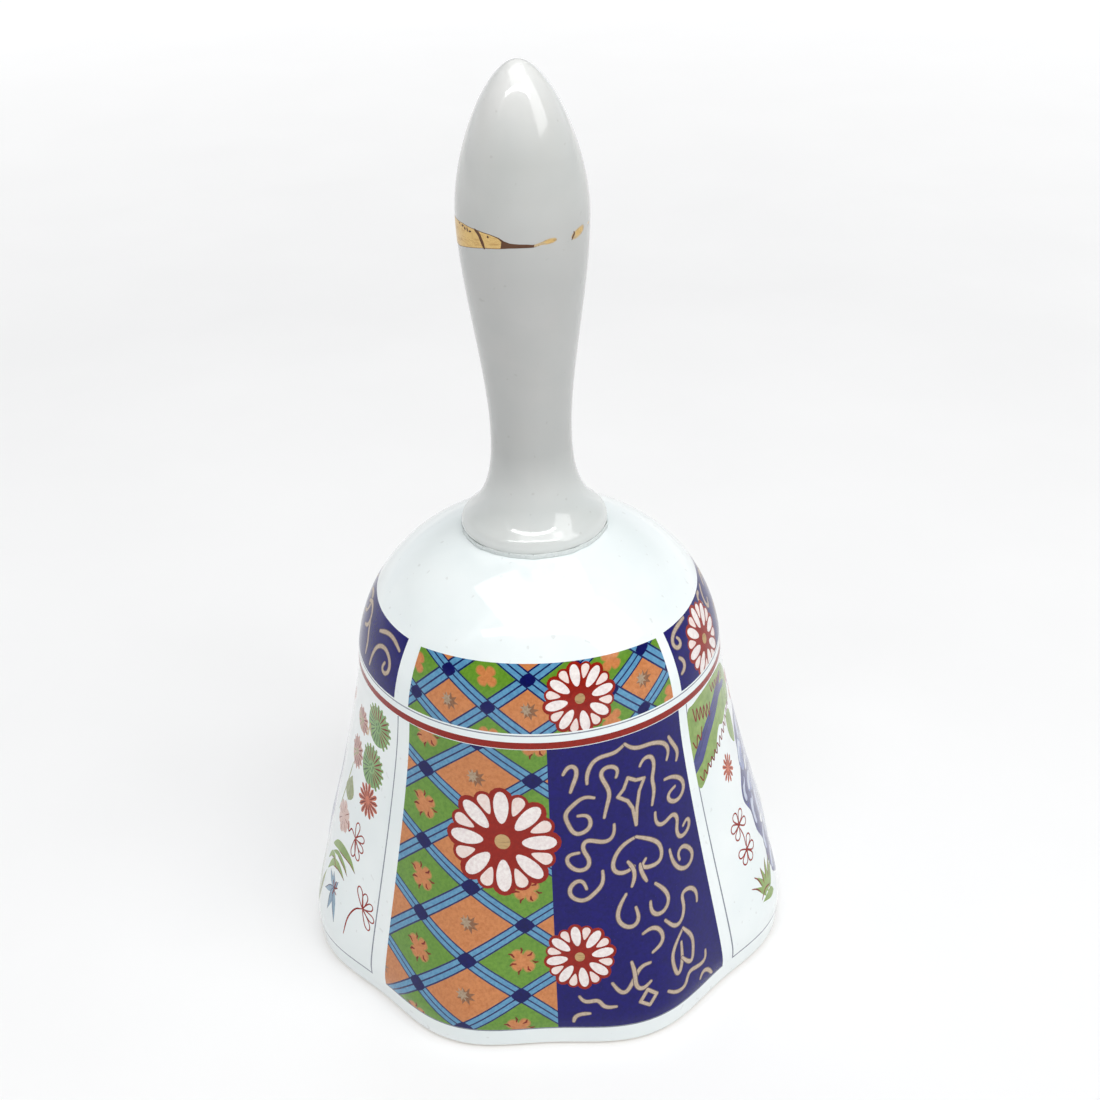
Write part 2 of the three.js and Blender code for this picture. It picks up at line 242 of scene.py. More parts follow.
class Painting:
    """Flat shapes laid on a band of a turned surface. Later shapes cover earlier ones.

    The plan has azimuth times a reference radius across, and distance along the profile upwards."""

    def __init__(self, profile, reference, seam, low, high, segments, spacing):
        self.profile = profile
        self.reference = reference
        self.seam = math.radians(seam)
        self.low = low
        self.high = high
        self.segments = segments
        self.spacing = spacing
        self.shapes = []

    def add(self, paint, points, anchor=0.0, window=None):
        """A shape in millimetres across and along, about an azimuth in degrees, cut to a window."""
        p, q = np.array(points, float).T
        radius, _ = self.profile.at(q)
        plan = np.stack([self.reference * (math.radians(anchor) + p / radius), q], 1)
        if window is not None:
            west, east, low, high = window
            for axis, limit, above in ((0, west, True), (0, east, False), (1, low, True), (1, high, False)):
                limit = self.reference * math.radians(limit) if axis == 0 else limit
                if len(plan):
                    plan = clip(plan, axis, limit, above)
        if len(plan) > 2:
            self.shapes.append((paint, plan))

    def band(self, paint, west, east, low, high):
        """A shape between two azimuths and two distances along the profile."""
        x = self.reference * np.radians([west, east])
        self.shapes.append((paint, np.array([(x[0], low), (x[1], low), (x[1], high), (x[0], high)])))

    def ring(self, paint, low, high):
        """A band all the way round."""
        west = math.degrees(self.seam)
        self.band(paint, west, west + 360, low, high)

    def triangles(self, step):
        """Plan points, triangles and the paint of each triangle."""
        azimuths = self.seam + TAU * np.arange(self.segments + 1) / self.segments
        across = self.reference * azimuths
        sides = self.profile.span(self.low, self.high, self.spacing)[1:-1]
        border = np.vstack([
            np.stack([across, np.full_like(across, self.low)], 1),
            np.stack([np.full_like(sides, across[-1]), sides], 1),
            np.stack([across[::-1], np.full_like(across, self.high)], 1),
            np.stack([np.full_like(sides, across[0]), sides[::-1]], 1),
        ])
        loops = [border] + [densified(polygon, step) for _, polygon in self.shapes]
        edges = []
        count = 0
        for loop in loops:
            ids = count + np.arange(len(loop))
            edges += list(zip(ids.tolist(), np.roll(ids, -1).tolist()))
            count += len(loop)
        rows = np.arange(self.low + self.spacing, self.high - self.spacing / 2, self.spacing * 0.866)
        grid = [
            (x + (row % 2) * self.spacing / 2, y)
            for row, y in enumerate(rows)
            for x in np.arange(across[0] + self.spacing * 0.6, across[-1] - self.spacing, self.spacing)
        ]
        points = np.vstack(loops + [np.array(grid)])
        made = delaunay_2d_cdt([Vector(p) for p in points], edges, [], 0, 1e-5, True)
        plan = np.array([points[min(ids)] if ids else tuple(v) for v, ids in zip(made[0], made[3])])
        faces = np.array([f for f in made[2] if len(f) == 3])
        middle = plan[faces].mean(1)
        order = np.argsort(middle[:, 0])
        ordered = middle[order]
        paints = np.zeros(len(faces), int)
        names = ["glaze"]
        for paint, polygon in self.shapes:
            if paint not in names:
                names.append(paint)
            first, last = np.searchsorted(ordered[:, 0], [polygon[:, 0].min(), polygon[:, 0].max()])
            span = ordered[first:last]
            near = np.nonzero((span[:, 1] > polygon[:, 1].min()) & (span[:, 1] < polygon[:, 1].max()))[0]
            for part in np.array_split(near, max(1, len(near) * len(polygon) // 2000000)):
                hit = part[inside(span[part], polygon)]
                paints[order[first + hit]] = names.index(paint)
        return plan, faces, paints, names


def place(painting, plan, lobed):
    """Points of the plan on the surface, with their outward normals."""

    def surface(azimuth, distance):
        r, z = painting.profile.at(distance)
        return turn(r, z, azimuth, lobed)

    azimuth = plan[:, 0] / painting.reference
    distance = plan[:, 1]
    points = surface(azimuth, distance)
    across = surface(azimuth + 0.004, distance) - surface(azimuth - 0.004, distance)
    along = surface(azimuth, distance + 0.3) - surface(azimuth, distance - 0.3)
    normals = np.cross(across, along)
    return points, normals / np.linalg.norm(normals, axis=1)[:, None]


def turned_grid(outline, segments, lobed, first_azimuth):
    """Points and quads of an open outline turned all the way round, facing out where it runs up."""
    azimuths = first_azimuth + TAU * np.arange(segments) / segments
    rows = len(outline)
    points = turn(outline[:, None, 0], outline[:, None, 1], azimuths[None], lobed).reshape(-1, 3)
    row, column = np.meshgrid(np.arange(rows - 1), np.arange(segments), indexing="ij")
    right = (column + 1) % segments
    quads = np.stack([row * segments + column, row * segments + right, (row + 1) * segments + right,
                      (row + 1) * segments + column], -1).reshape(-1, 4)
    return points, quads


def build_mesh(name, points, faces, paints, materials, normals=None):
    """A smooth mesh from millimetre points, with repeated points merged and normals set where given."""
    points = np.asarray(points)
    _, first, merged = np.unique(np.round(points, 5), axis=0, return_index=True, return_inverse=True)
    merged = merged.reshape(-1)
    kept_faces = []
    kept_paints = []
    for face, paint in zip(faces, paints):
        ids = []
        for i in merged[face]:
            if not ids or (ids[-1] != i):
                ids.append(int(i))
        if ids[0] == ids[-1]:
            ids.pop()
        if len(set(ids)) > 2:
            kept_faces.append(ids)
            kept_paints.append(int(paint))
    mesh = bpy.data.meshes.new(name)
    mesh.from_pydata((points[first] * MM).tolist(), [], kept_faces)
    for material in materials:
        mesh.materials.append(material)
    mesh.polygons.foreach_set("material_index", kept_paints)
    mesh.polygons.foreach_set("use_smooth", [True] * len(mesh.polygons))
    mesh.update()
    if normals is not None:
        own = np.array([tuple(v.vector) for v in mesh.vertex_normals])
        given = np.asarray(normals)[first]
        known = np.linalg.norm(given, axis=1) > 0.5
        own[known] = given[known]
        mesh.normals_split_custom_set_from_vertices(own.tolist())
    made = bpy.data.objects.new(name, mesh)
    bpy.context.collection.objects.link(made)
    return made


def turned_sections(sections, segments, lobed, first_azimuth):
    """Points, quads and paints of an outline given as stretches, each with its own paint."""
    outline = joined(*(points for _, points in sections))
    points, quads = turned_grid(outline, segments, lobed, first_azimuth)
    ends = [len(joined(*(p for _, p in sections[: i + 1]))) - 1 for i in range(len(sections))]
    rows = np.arange(len(outline) - 1)
    of_row = np.searchsorted(ends, rows, side="right")
    paints = [sections[i][0] for i in np.repeat(of_row, segments)]
    return points, quads, paints


def painted_turning(name, painting, sections, lobed, materials):
    """A closed turned body: the painted band, and the outline from its top round to its bottom."""
    plan, faces, paints, names = painting.triangles(0.9)
    points, normals = place(painting, plan, lobed)
    rest, quads, rest_paints = turned_sections(sections, painting.segments, lobed, painting.seam)
    names = names + sorted(set(rest_paints) - set(names))
    all_points = np.vstack([points, rest])
    all_normals = np.vstack([normals, np.zeros_like(rest)])
    all_faces = [list(f) for f in faces] + [list(f + len(points)) for f in quads]
    all_paints = list(paints) + [names.index(n) for n in rest_paints]
    return build_mesh(name, all_points, all_faces, all_paints, [materials[n] for n in names], all_normals)


def turned_piece(name, sections, segments, materials, shaped=None):
    """A closed turned body of its own, whose points may be nudged by a function."""
    points, quads, paints = turned_sections(sections, segments, False, 0.0)
    names = sorted(set(paints))
    if shaped is not None:
        points = shaped(points)
    return build_mesh(name, points, list(map(list, quads)), [names.index(n) for n in paints],
                      [materials[n] for n in names])


# ---------- painted marks, in millimetres across and along ----------
def smooth(points, steps=8, closed=False):
    """A smooth line through control points."""
    p = np.array(points, float)
    padded = np.vstack([p[-1:], p, p[:2]]) if closed else np.vstack([2 * p[0] - p[1], p, 2 * p[-1] - p[-2]])
    made = []
    for a, b, c, d in zip(padded[:-3], padded[1:-2], padded[2:-1], padded[3:]):
        t = np.linspace(0, 1, steps, endpoint=False)[:, None]
        curve = 2 * b + (c - a) * t + (2 * a - 5 * b + 4 * c - d) * t**2 + (3 * b - a - 3 * c + d) * t**3
        made.append(0.5 * curve)
    line = np.vstack(made)
    return line if closed else np.vstack([line, p[-1]])


def stroke(line, width, thin_ends=0.55):
    """A brush stroke along a line, thinner at both ends, with round ends."""
    line = np.asarray(line, float)
    ahead = np.gradient(line, axis=0)
    ahead /= np.linalg.norm(ahead, axis=1)[:, None] + 1e-12
    aside = np.stack([-ahead[:, 1], ahead[:, 0]], 1)
    t = np.linspace(0, 1, len(line))
    half = width / 2 * (thin_ends + (1 - thin_ends) * np.minimum(1, np.minimum(t, 1 - t) * 5))[:, None]
    tips = []
    for end, direction in ((-1, 1), (0, -1)):
        a = np.linspace(math.pi / 2, -math.pi / 2, 6)[1:-1, None]
        outwards = np.sin(a) * aside[end] * direction + np.cos(a) * ahead[end] * direction
        tips.append(line[end] + half[end] * outwards)
    return np.vstack([line + aside * half, tips[0], (line - aside * half)[::-1], tips[1]])


def moved(points, p, q, angle=0.0, scale=1.0, flip=1):
    """Points turned by degrees, scaled and moved."""
    c, s = math.cos(math.radians(angle)), math.sin(math.radians(angle))
    x, y = np.array(points, float).T
    x = x * flip
    return np.stack([p + scale * (x * c - y * s), q + scale * (x * s + y * c)], 1)


def oval(half_width, half_height, sides=14):
    a = TAU * np.arange(sides) / sides
    return np.stack([half_width * np.cos(a), half_height * np.sin(a)], 1)


def petal(start, end, half_width, steps=11, widest=0.68):
    """A petal pointing up from the origin: a slim base, widest near its round outer end."""
    t = 0.5 - 0.5 * np.cos(np.linspace(0, math.pi, steps))
    base = (np.clip(t / widest, 0, 1)) ** 0.6
    tip = np.sqrt(np.clip(1 - (np.clip(t - widest, 0, 1) / (1 - widest)) ** 2, 0, 1))
    half = half_width * np.where(t < widest, base, tip)
    y = start + (end - start) * t
    return np.vstack([np.stack([half, y], 1), np.stack([-half, y], 1)[::-1][1:-1]])


def leaf(length, half_width, bend, steps=8):
    """A pointed leaf growing up from the origin and bending to one side."""
    t = np.linspace(0, 1, steps)
    middle = np.stack([bend * t**2, length * t], 1)
    half = half_width * np.sin(np.pi * t**0.8) * (1 - 0.35 * t)
    return np.vstack([middle + np.stack([half, 0 * t], 1), (middle - np.stack([half, 0 * t], 1))[::-1][1:-1]])


def eased(line, spacing=0.22, passes=22):
    """A line resampled evenly, with its kinks rubbed smooth and its ends kept."""
    length = np.r_[0, np.cumsum(np.hypot(*np.diff(line, axis=0).T))]
    at = np.linspace(0, length[-1], max(6, int(length[-1] / spacing)))
    line = np.stack([np.interp(at, length, line[:, 0]), np.interp(at, length, line[:, 1])], 1)
    for _ in range(passes):
        line[1:-1] = (line[:-2] + 2 * line[1:-1] + line[2:]) / 4
    return line


SCROLL_EDGE_WIDTH, SCROLL_WIDTH = 0.84, 0.58
KITE_EDGE_WIDTH, KITE_WIDTH = 0.74, 0.5


class Brush:
    """Paints marks about one azimuth of a painting, cut to a window."""

    def __init__(self, painting, anchor, window=None):
        self.painting = painting
        self.anchor = anchor
        self.window = window

    def fill(self, paint, points):
        self.painting.add(paint, points, self.anchor, self.window)

    def line(self, paint, points, width, thin_ends=0.55, steps=8, closed=False):
        line = smooth(points, steps, closed)
        if closed:
            line = np.vstack([line, line[:1]])
        self.fill(paint, stroke(line, width, 1.0 if closed else thin_ends))

    def scroll(self, points, sharp=False):
        """A tan gold stroke with a thin darker edge, flowing, or with sharp corners and closed."""
        if sharp:
            corners = np.array(list(points) + [points[0]], float)
            for a, b in zip(corners[:-1], corners[1:]):
                self.fill("scroll_edge", stroke(np.linspace(a, b, 5), KITE_EDGE_WIDTH, 1.0))
            for a, b in zip(corners[:-1], corners[1:]):
                self.fill("scroll", stroke(np.linspace(a, b, 5), KITE_WIDTH, 1.0))
            return
        line = eased(smooth(points, 10))
        self.fill("scroll_edge", stroke(line, SCROLL_EDGE_WIDTH, 0.75))
        self.fill("scroll", stroke(line, SCROLL_WIDTH, 0.7))

    def chrysanthemum(self, p, q, radius, turned_by=0.0):
        size = radius / 8.5
        spokes = range(8)
        egg = oval(1.14, 2.6, 20)
        egg = egg * np.stack([1 + 0.06 * egg[:, 1], np.ones(20)], 1) + (0, 5.5)

        def put(paint, shape, angle=0.0):
            self.fill(paint, moved(shape, p, q, angle + turned_by, size))

        put("red", oval(7.1, 7.1, 40))
        for k in spokes:
            put("red", petal(3.0, 8.4, 1.75, widest=0.6), 45 * k + 22.5)
            put("red", petal(1.0, 8.8, 2.05), 45 * k)
        for k in spokes:
            put("pale_petal", petal(4.6, 7.9, 1.0, widest=0.7), 45 * k + 22.5)
            put("white_petal", egg, 45 * k)
        put("red", oval(2.35, 2.35, 24))
        put("gold_dot", oval(1.2, 1.2, 18))

    def blossom(self, p, q, size, angle=0.0, ticks=True):
        """A four-petalled orange blossom with a soft rim, and short dark-red ticks at its petal ends."""
        petals = list(enumerate(((1.7, 0.66), (1.55, 0.72), (1.65, 0.7), (1.6, 0.68))))
        for paint, grown in (("orange_rim", 0.16), ("orange", 0.0)):
            self.fill(paint, moved(oval(0.75 + grown, 0.85 + grown, 12), p, q, angle, size))
            for k, (reach, half) in petals:
                self.fill(paint, moved(petal(-0.3, reach + grown, half + grown, 8), p, q, angle + 90 * k,
                                       size))
        if ticks:
            for k, (start, end) in enumerate(((1.2, 1.95), (0.95, 1.7), (1.25, 1.9), (1.0, 1.6),
                                              (1.2, 1.85), (0.9, 1.6), (1.1, 1.75))):
                tick = moved([(0.0, start), (0.2, 0.5 * (start + end)), (0.12, end)], p, q,
                             angle + 51 * k + 22, size)
                self.fill("dark_red", stroke(tick, 0.27 * size, 0.6))

    def star(self, p, q, size, angle=0.0):
        """An eight-pointed star, light on its left half and dark on its right."""
        a = math.pi * np.arange(16) / 8
        r = np.where(np.arange(16) % 2 == 0, 1.5, 0.72)
        points = np.stack([r * np.sin(a), r * np.cos(a)], 1)
        self.fill("star_dark", moved(points, p + 0.12 * size, q, angle, size))
        self.fill("star_light", moved(points * (0.62, 0.78), p - 0.42 * size, q + 0.18 * size, angle + 10,
                                      size))

    def daisy(self, paint, p, q, rays, radius, half_width, squeeze=1.0, line=0.2):
        """A flower of separate rays round a filled heart, each ray with a dark line down it."""
        for k in range(rays):
            ray = petal(0.2 * radius, radius * (1 - 0.08 * (k % 2)), half_width, 8)
            self.fill(paint, moved(moved(ray, 0, 0, 360 * k / rays) * (squeeze, 1), p, q))
        self.fill(paint, moved(oval(0.5 * radius * squeeze, 0.5 * radius, 14), p, q))
        for k in range(rays):
            a = TAU * k / rays
            vein = [(share * radius * squeeze * math.sin(a),
                     share * radius * math.cos(a)) for share in (0.25, 0.6, 0.96)]
            self.fill("dark_red", stroke(moved(vein, p, q), line, 0.5))

    def round_bloom(self, disc, shade, p, q, width, height, rays=20, lit=0.25):
        """A round flower head full of short rays, dark red on most of it and a deeper shade on one side."""
        self.fill(disc, moved(oval(width, height, 26), p, q))
        for k in range(rays):
            a = TAU * k / rays
            red = math.sin(a + 0.7) > -lit
            reach = 1.07 if red else 0.98
            ray = [(share * width * math.sin(a), share * height * math.cos(a)) for share in (0.34, 0.7,
                                                                                             reach)]
            if red:
                self.fill(disc, stroke(moved(ray, p, q), 0.66, 0.9))
            self.fill("dark_red" if red else shade, stroke(moved(ray, p, q), 0.3, 0.4))
        for k in range(5):
            a = TAU * k / 5
            self.fill(shade, moved(oval(0.16, 0.3, 8), p + 0.17 * width * math.sin(a),
                                   q + 0.17 * height * math.cos(a)))

    def winged(self, p, q, tips, width=0.24):
        """Wings drawn in red outline from one point to each tip."""
        for across, along in tips:
            length = math.hypot(across, along)
            angle = math.degrees(math.atan2(-across, along))
            wing = moved(petal(0.15, length, 0.62, 7), p, q, angle)
            self.line("red", wing, width, closed=True, steps=2)

    def arching_leaf(self, points, width):
        """A long pointed leaf along a curve, with a red line on its lower edge."""
        spine = smooth(points, 7)
        t = np.linspace(0, 1, len(spine))
        ahead = np.gradient(spine, axis=0)
        aside = np.stack([-ahead[:, 1], ahead[:, 0]], 1) / np.linalg.norm(ahead, axis=1)[:, None]
        half = width / 2 * np.sin(np.pi * t**0.8)[:, None] * aside
        self.fill("leaf_green", np.vstack([spine + half, (spine - half)[::-1][1:-1]]))
        self.fill("dark_red", stroke((spine - half)[len(spine) // 3:], 0.2, 0.6))

    def boulder(self, body, p, q, width, height, angle):
        """One lobe of a rock: dark rim, washed body, pale lit edge, and hatching in its shade."""
        rim = np.array([(-1, -0.3), (-0.86, 0.5), (-0.25, 1), (0.3, 0.8), (0.75, 0.9), (1.05, 0.2),
                        (0.7, -0.3), (0.8, -0.8),
                        (0.1, -1), (-0.6, -0.75)])
        lit = np.array([(-0.84, -0.25), (-0.72, 0.42), (-0.2, 0.84), (0.3, 0.62), (0.66, 0.72), (0.5, 0.4),
                        (0.05, 0.34), (-0.3, 0.1),
                        (-0.48, -0.4)])
        size = np.array([width, height])
        self.fill("rock_line", smooth(moved(rim * size, p, q, angle), 5, closed=True))
        self.fill(body, smooth(moved(rim * (size - 0.18), p, q, angle), 5, closed=True))
        self.fill("rock_light", smooth(moved(lit * size, p, q, angle), 5, closed=True))
        for k in range(4):
            hatch = np.array([(-0.2 + 0.24 * k, -0.74 + 0.06 * k), (0.0 + 0.2 * k, -0.46 + 0.1 * k),
                              (0.08 + 0.17 * k, -0.12 + 0.12 * k)])
            self.fill("rock_line", stroke(moved(hatch * size, p, q, angle), 0.14, 0.4))

    def outlined_bloom(self, p, q, size, angle=0.0, petals=5, spread=72.0):
        """A blossom drawn only in red outline."""
        for k in range(petals):
            loop = moved(petal(0.3, 2.6, 0.75, 6), p, q, angle + spread * (k - (petals - 1) / 2), size)
            self.line("red", loop, 0.26, closed=True, steps=2)
        self.fill("red", moved(oval(0.4, 0.4, 10), p, q, 0, size))


# ---------- lattice of the front and back panels ----------
STRIPE = 2.1
STRIPE_LINE = 0.24
KNOT_WIDTH, KNOT_HEIGHT = 1.75, 1.45
KNOT_SHARPNESS = 1.3


def lattice(brush, node, columns, rows, blossom_size, star_size, knot_size, ticks):
    """A diagonal trellis: green and orange diamonds, blue stripes and dark knots.

    node gives the place of a half-step (i, j); knots stand where i and j are both even or both odd."""
    cells = [(i, j) for i in columns for j in rows if (i + j) % 2]
    for i, j in cells:
        diamond = [node(i - 1, j), node(i, j - 1), node(i + 1, j), node(i, j + 1)]
        brush.fill("orange" if i % 2 else "green", diamond)
    longest = len(columns) + len(rows)
    lowest, highest = sorted((node(0, rows[0])[1], node(0, rows[-1])[1]))
    lowest, highest = lowest - 25, highest + 25
    for lean in (1, -1):
        starts = [(columns[0], j) for j in range(rows[0] - longest,
                                                 rows[-1] + longest) if (columns[0] + j) % 2 == 0]
        for i0, j0 in starts:
            line = np.array([node(i0 + k, j0 + lean * k) for k in range(len(columns))], float)
            inside_rows = (line[:, 1] > lowest) & (line[:, 1] < highest)
            line = line[inside_rows]
            if len(line) < 2:
                continue
            line = smooth(line, 5)
            ahead = np.gradient(line, axis=0)
            ahead /= np.linalg.norm(ahead, axis=1)[:, None]
            aside = np.stack([-ahead[:, 1], ahead[:, 0]], 1)
            brush.fill("light_blue", stroke(line, STRIPE, 1.0))
            for offset in (-0.5, 0, 0.5):
                rule = line + aside * offset * (STRIPE - STRIPE_LINE)
                brush.fill("dark_blue", stroke(rule, STRIPE_LINE, 1.0))
    for i in columns:
        for j in rows:
            p, q = node(i, j)
            if (i + j) % 2 == 0:
                a = TAU * np.arange(20) / 20
                spread = np.abs(np.cos(a)) ** KNOT_SHARPNESS + np.abs(np.sin(a)) ** KNOT_SHARPNESS
                reach = 1 / spread ** (1 / KNOT_SHARPNESS)
                knot = np.stack([KNOT_WIDTH * reach * np.cos(a), KNOT_HEIGHT * reach * np.sin(a)], 1)
                brush.fill("knot_blue", moved(knot, p, q, 0, knot_size))
            elif i % 2:
                brush.star(p, q, star_size, 9 * i + 5 * j)
            else:
                brush.blossom(p, q, blossom_size, 42 + 7 * ((i + 2 * j) % 3 - 1), ticks)


def lower_node(i, j):
    return -1.5 + 8.5 * i - 0.5 * j, -5.8 - 5.95 * j - 0.3 * i * i


def upper_left_node(i, j):
    p, level = -7.6 + 6 * i, 5.4 + 4.5 * j
    return p, level - 0.07 * p - 0.0045 * p * p


def upper_right_node(i, j):
    return 16 + 5.4 * (i - 1) + 0.1 * j, 7 + 4.3 * j


# ---------- the front and back panels ----------
# Points of the scrolls, in millimetres across and along the cup. They are not drawn by hand: a scratch
# program carried positions picked in the photo onto the cup's surface and rounded them to half a
# millimetre. They should be redrawn as spirals and hooks from a few functions.
NAVY_SCROLLS = [
    [(3, -5), (3.5, -4), (4, -3.5), (5, -4), (5, -5.5), (4.5, -6.5), (4, -8)],
    [(6.5, -7), (6.5, -5.5), (7.5, -3.5), (9, -3), (11, -3), (12.5, -2)],
    [(12.5, -2), (13.5, -3), (15, -3.5), (16.5, -3.5), (18.5, -4), (20, -5), (20.5, -6.5), (20, -7.5)],
    [(20.5, -4), (21, -5), (22, -6.5), (22.5, -7.5), (22, -8.5)],
    [(11, -7), (11.5, -6), (10.5, -5), (9, -5), (8.5, -6), (9.5, -8), (10, -9.5), (9.5, -11), (9, -13)],
    [(15, -6.5), (15.5, -5.5), (17, -5.5), (17.5, -6.5), (17.5, -8), (17, -9.5), (17.5, -11), (17, -13.5)],
    [(19.5, -10.5), (20.5, -10.5), (22.5, -11.5), (23.5, -13), (23, -14.5), (21.5, -15), (20, -14),
     (20, -13), (21.5, -12.5)],
    [(7.5, -9.5), (6, -9), (4.5, -10), (3, -11.5), (3.5, -13), (4.5, -15), (6.5, -14.5), (7, -13.5),
     (6.5, -12), (5, -12)],
    [(17.5, -15), (17.5, -16.5), (18.5, -17.5), (20, -17), (21, -16.5), (22, -18), (21.5, -19), (22, -21),
     (23.5, -21), (24.5, -20), (24, -18.5), (23, -19.5)],
    [(14, -17.5), (12, -18), (10.5, -19.5), (10, -21.5), (11, -22.5), (12.5, -22.5), (13.5, -22)],
    [(14, -17.5), (16, -18.5), (18, -20), (18.5, -22), (18, -23), (16, -23), (14.5, -22.5), (15.5, -21.5)],
    [(12.5, -21), (13.5, -22.5), (13.5, -24), (13, -25)],
    [(14.5, -22), (14.5, -23), (15.5, -25)],
    [(20, -22), (20.5, -24), (22, -26), (24, -26.5), (25, -25), (24, -23.5), (22.5, -22.5), (21.5, -23.5),
     (22, -24.5)],
    [(10.5, -14.5), (10.5, -16), (9.5, -17), (7.5, -16.5), (6, -16), (5.5, -17.5), (6.5, -19), (6.5, -20.5),
     (5, -21), (3.5, -20), (3, -18.5), (4, -18), (5, -18)],
    [(8.5, -21.5), (8.5, -23.5), (7, -25), (5.5, -26), (3.5, -25), (3.5, -23.5), (4.5, -22.5), (5.5, -22.5),
     (6, -24)],
    [(12, -26), (11, -27.5), (10.5, -29.5), (11.5, -31), (13, -31.5), (14, -30.5), (13.5, -28.5)],
    [(17, -26), (18.5, -27.5), (19.5, -29.5), (18.5, -31), (17, -31), (16, -30), (16, -28.5)],
    [(25.5, -33), (25.5, -31.5), (24, -30), (22, -30), (22.5, -32), (22, -34), (20.5, -34.5), (18.5, -32.5)],
    [(22, -35.5), (20.5, -37), (19.5, -39), (20.5, -42.5), (21.5, -40.5), (21.5, -37.5)],
    [(22, -35.5), (24, -38), (24, -40.5), (23.5, -42), (21.5, -40)],
    [(14.5, -33), (16, -32.5), (17.5, -33.5), (18, -35.5), (16, -36.5)],
    [(9.5, -40), (10.5, -41.5), (11.5, -42), (13, -39.5), (14, -38), (15.5, -38)],
    [(12.5, -37), (13, -39), (13, -41), (14, -42), (15.5, -41)],
    [(4.5, -42), (5, -43), (6, -43), (7.5, -42.5), (8, -44), (10, -44)],
    [(3.5, -46.5), (3.5, -45.5), (5, -45), (6, -45)],
    [(27, -42), (27, -43.5), (25, -43.5), (23, -43), (22.5, -43.5), (22, -45), (20, -45), (18.5, -44)],
    [(25.5, -46), (26, -45), (27.5, -45.5), (28.5, -47)],
]
NAVY_KITES = [
    [(12.9, -7.7), (14.2, -8.5), (15.7, -8.7), (14.8, -10.4), (14.3, -13), (14.1, -15.6), (13.6, -12.8),
     (12.8, -11.4),
     (11.2, -10.3), (12.2, -9.3)],
    [(14.9, -42.2), (16.4, -43.4), (15.2, -44.9), (13.7, -43.9)],
]
PANEL = (-42.4, 45.2)
PANEL_SPLIT = 1.5
PANEL_LOW, PANEL_HIGH = -47.7, -0.65
BAND_LOW, BAND_HIGH = 2.0, 12.4
SIDE_BAND_HIGH = 11.7
BAND_PANEL = (-43.0, 43.4)
BAND_BREAK = 11.4


def paint_panel(painting, turned_by):
    """The lattice and navy panel below the red ring, and the lattice band above it."""
    west, east = (turned_by + a for a in PANEL)
    split = turned_by + PANEL_SPLIT
    left = Brush(painting, turned_by, (west, split, PANEL_LOW, PANEL_HIGH))
    lattice(left, lower_node, range(-5, 3), range(-2, 9), 1.25, 1.05, 0.9, True)
    painting.band("navy", split, east, PANEL_LOW, PANEL_HIGH)
    right = Brush(painting, turned_by, (split, east, PANEL_LOW, PANEL_HIGH))
    for points in NAVY_SCROLLS:
        right.scroll(points)
    for points in NAVY_KITES:
        right.scroll(points, sharp=True)
    both = Brush(painting, turned_by, (west, east, PANEL_LOW, PANEL_HIGH))
    both.chrysanthemum(-6.3, -15.9, 8.5)
    both.chrysanthemum(4.7, -35.2, 5.4, 8)
    painting.band("grey", west, east, PANEL_LOW - 0.25, PANEL_LOW)

    west, east = (turned_by + a for a in BAND_PANEL)
    middle = turned_by + BAND_BREAK
    lattice(Brush(painting, turned_by, (west, middle, BAND_LOW, BAND_HIGH)), upper_left_node, range(-4, 4),
            range(-2, 4), 1.0, 0.95, 0.68, False)
    lattice(Brush(painting, turned_by, (middle, east, BAND_LOW, BAND_HIGH)), upper_right_node, range(-2, 4),
            range(-3, 3), 1.0, 0.95, 0.68, False)
    Brush(painting, turned_by, (west, east, BAND_LOW, BAND_HIGH)).chrysanthemum(5.8, 6.8, 5.35, 10)
    x = painting.reference * np.radians(np.linspace(west, east, 25))
    rise = 11.6 + 0.75 * np.sin(np.linspace(0, math.pi, 25)) ** 0.8
    edge = np.stack([x, rise], 1)
    painting.shapes.append(("glaze", np.vstack([edge, [(x[-1], BAND_HIGH + 0.2), (x[0], BAND_HIGH + 0.2)]])))


# ---------- the white side panels ----------
SIDE = (48.7, 132.8)
SIDE_BAND = (47.3, 130.6)
SIDE_LOW = -48.0
FRAME_WIDTH = 0.3


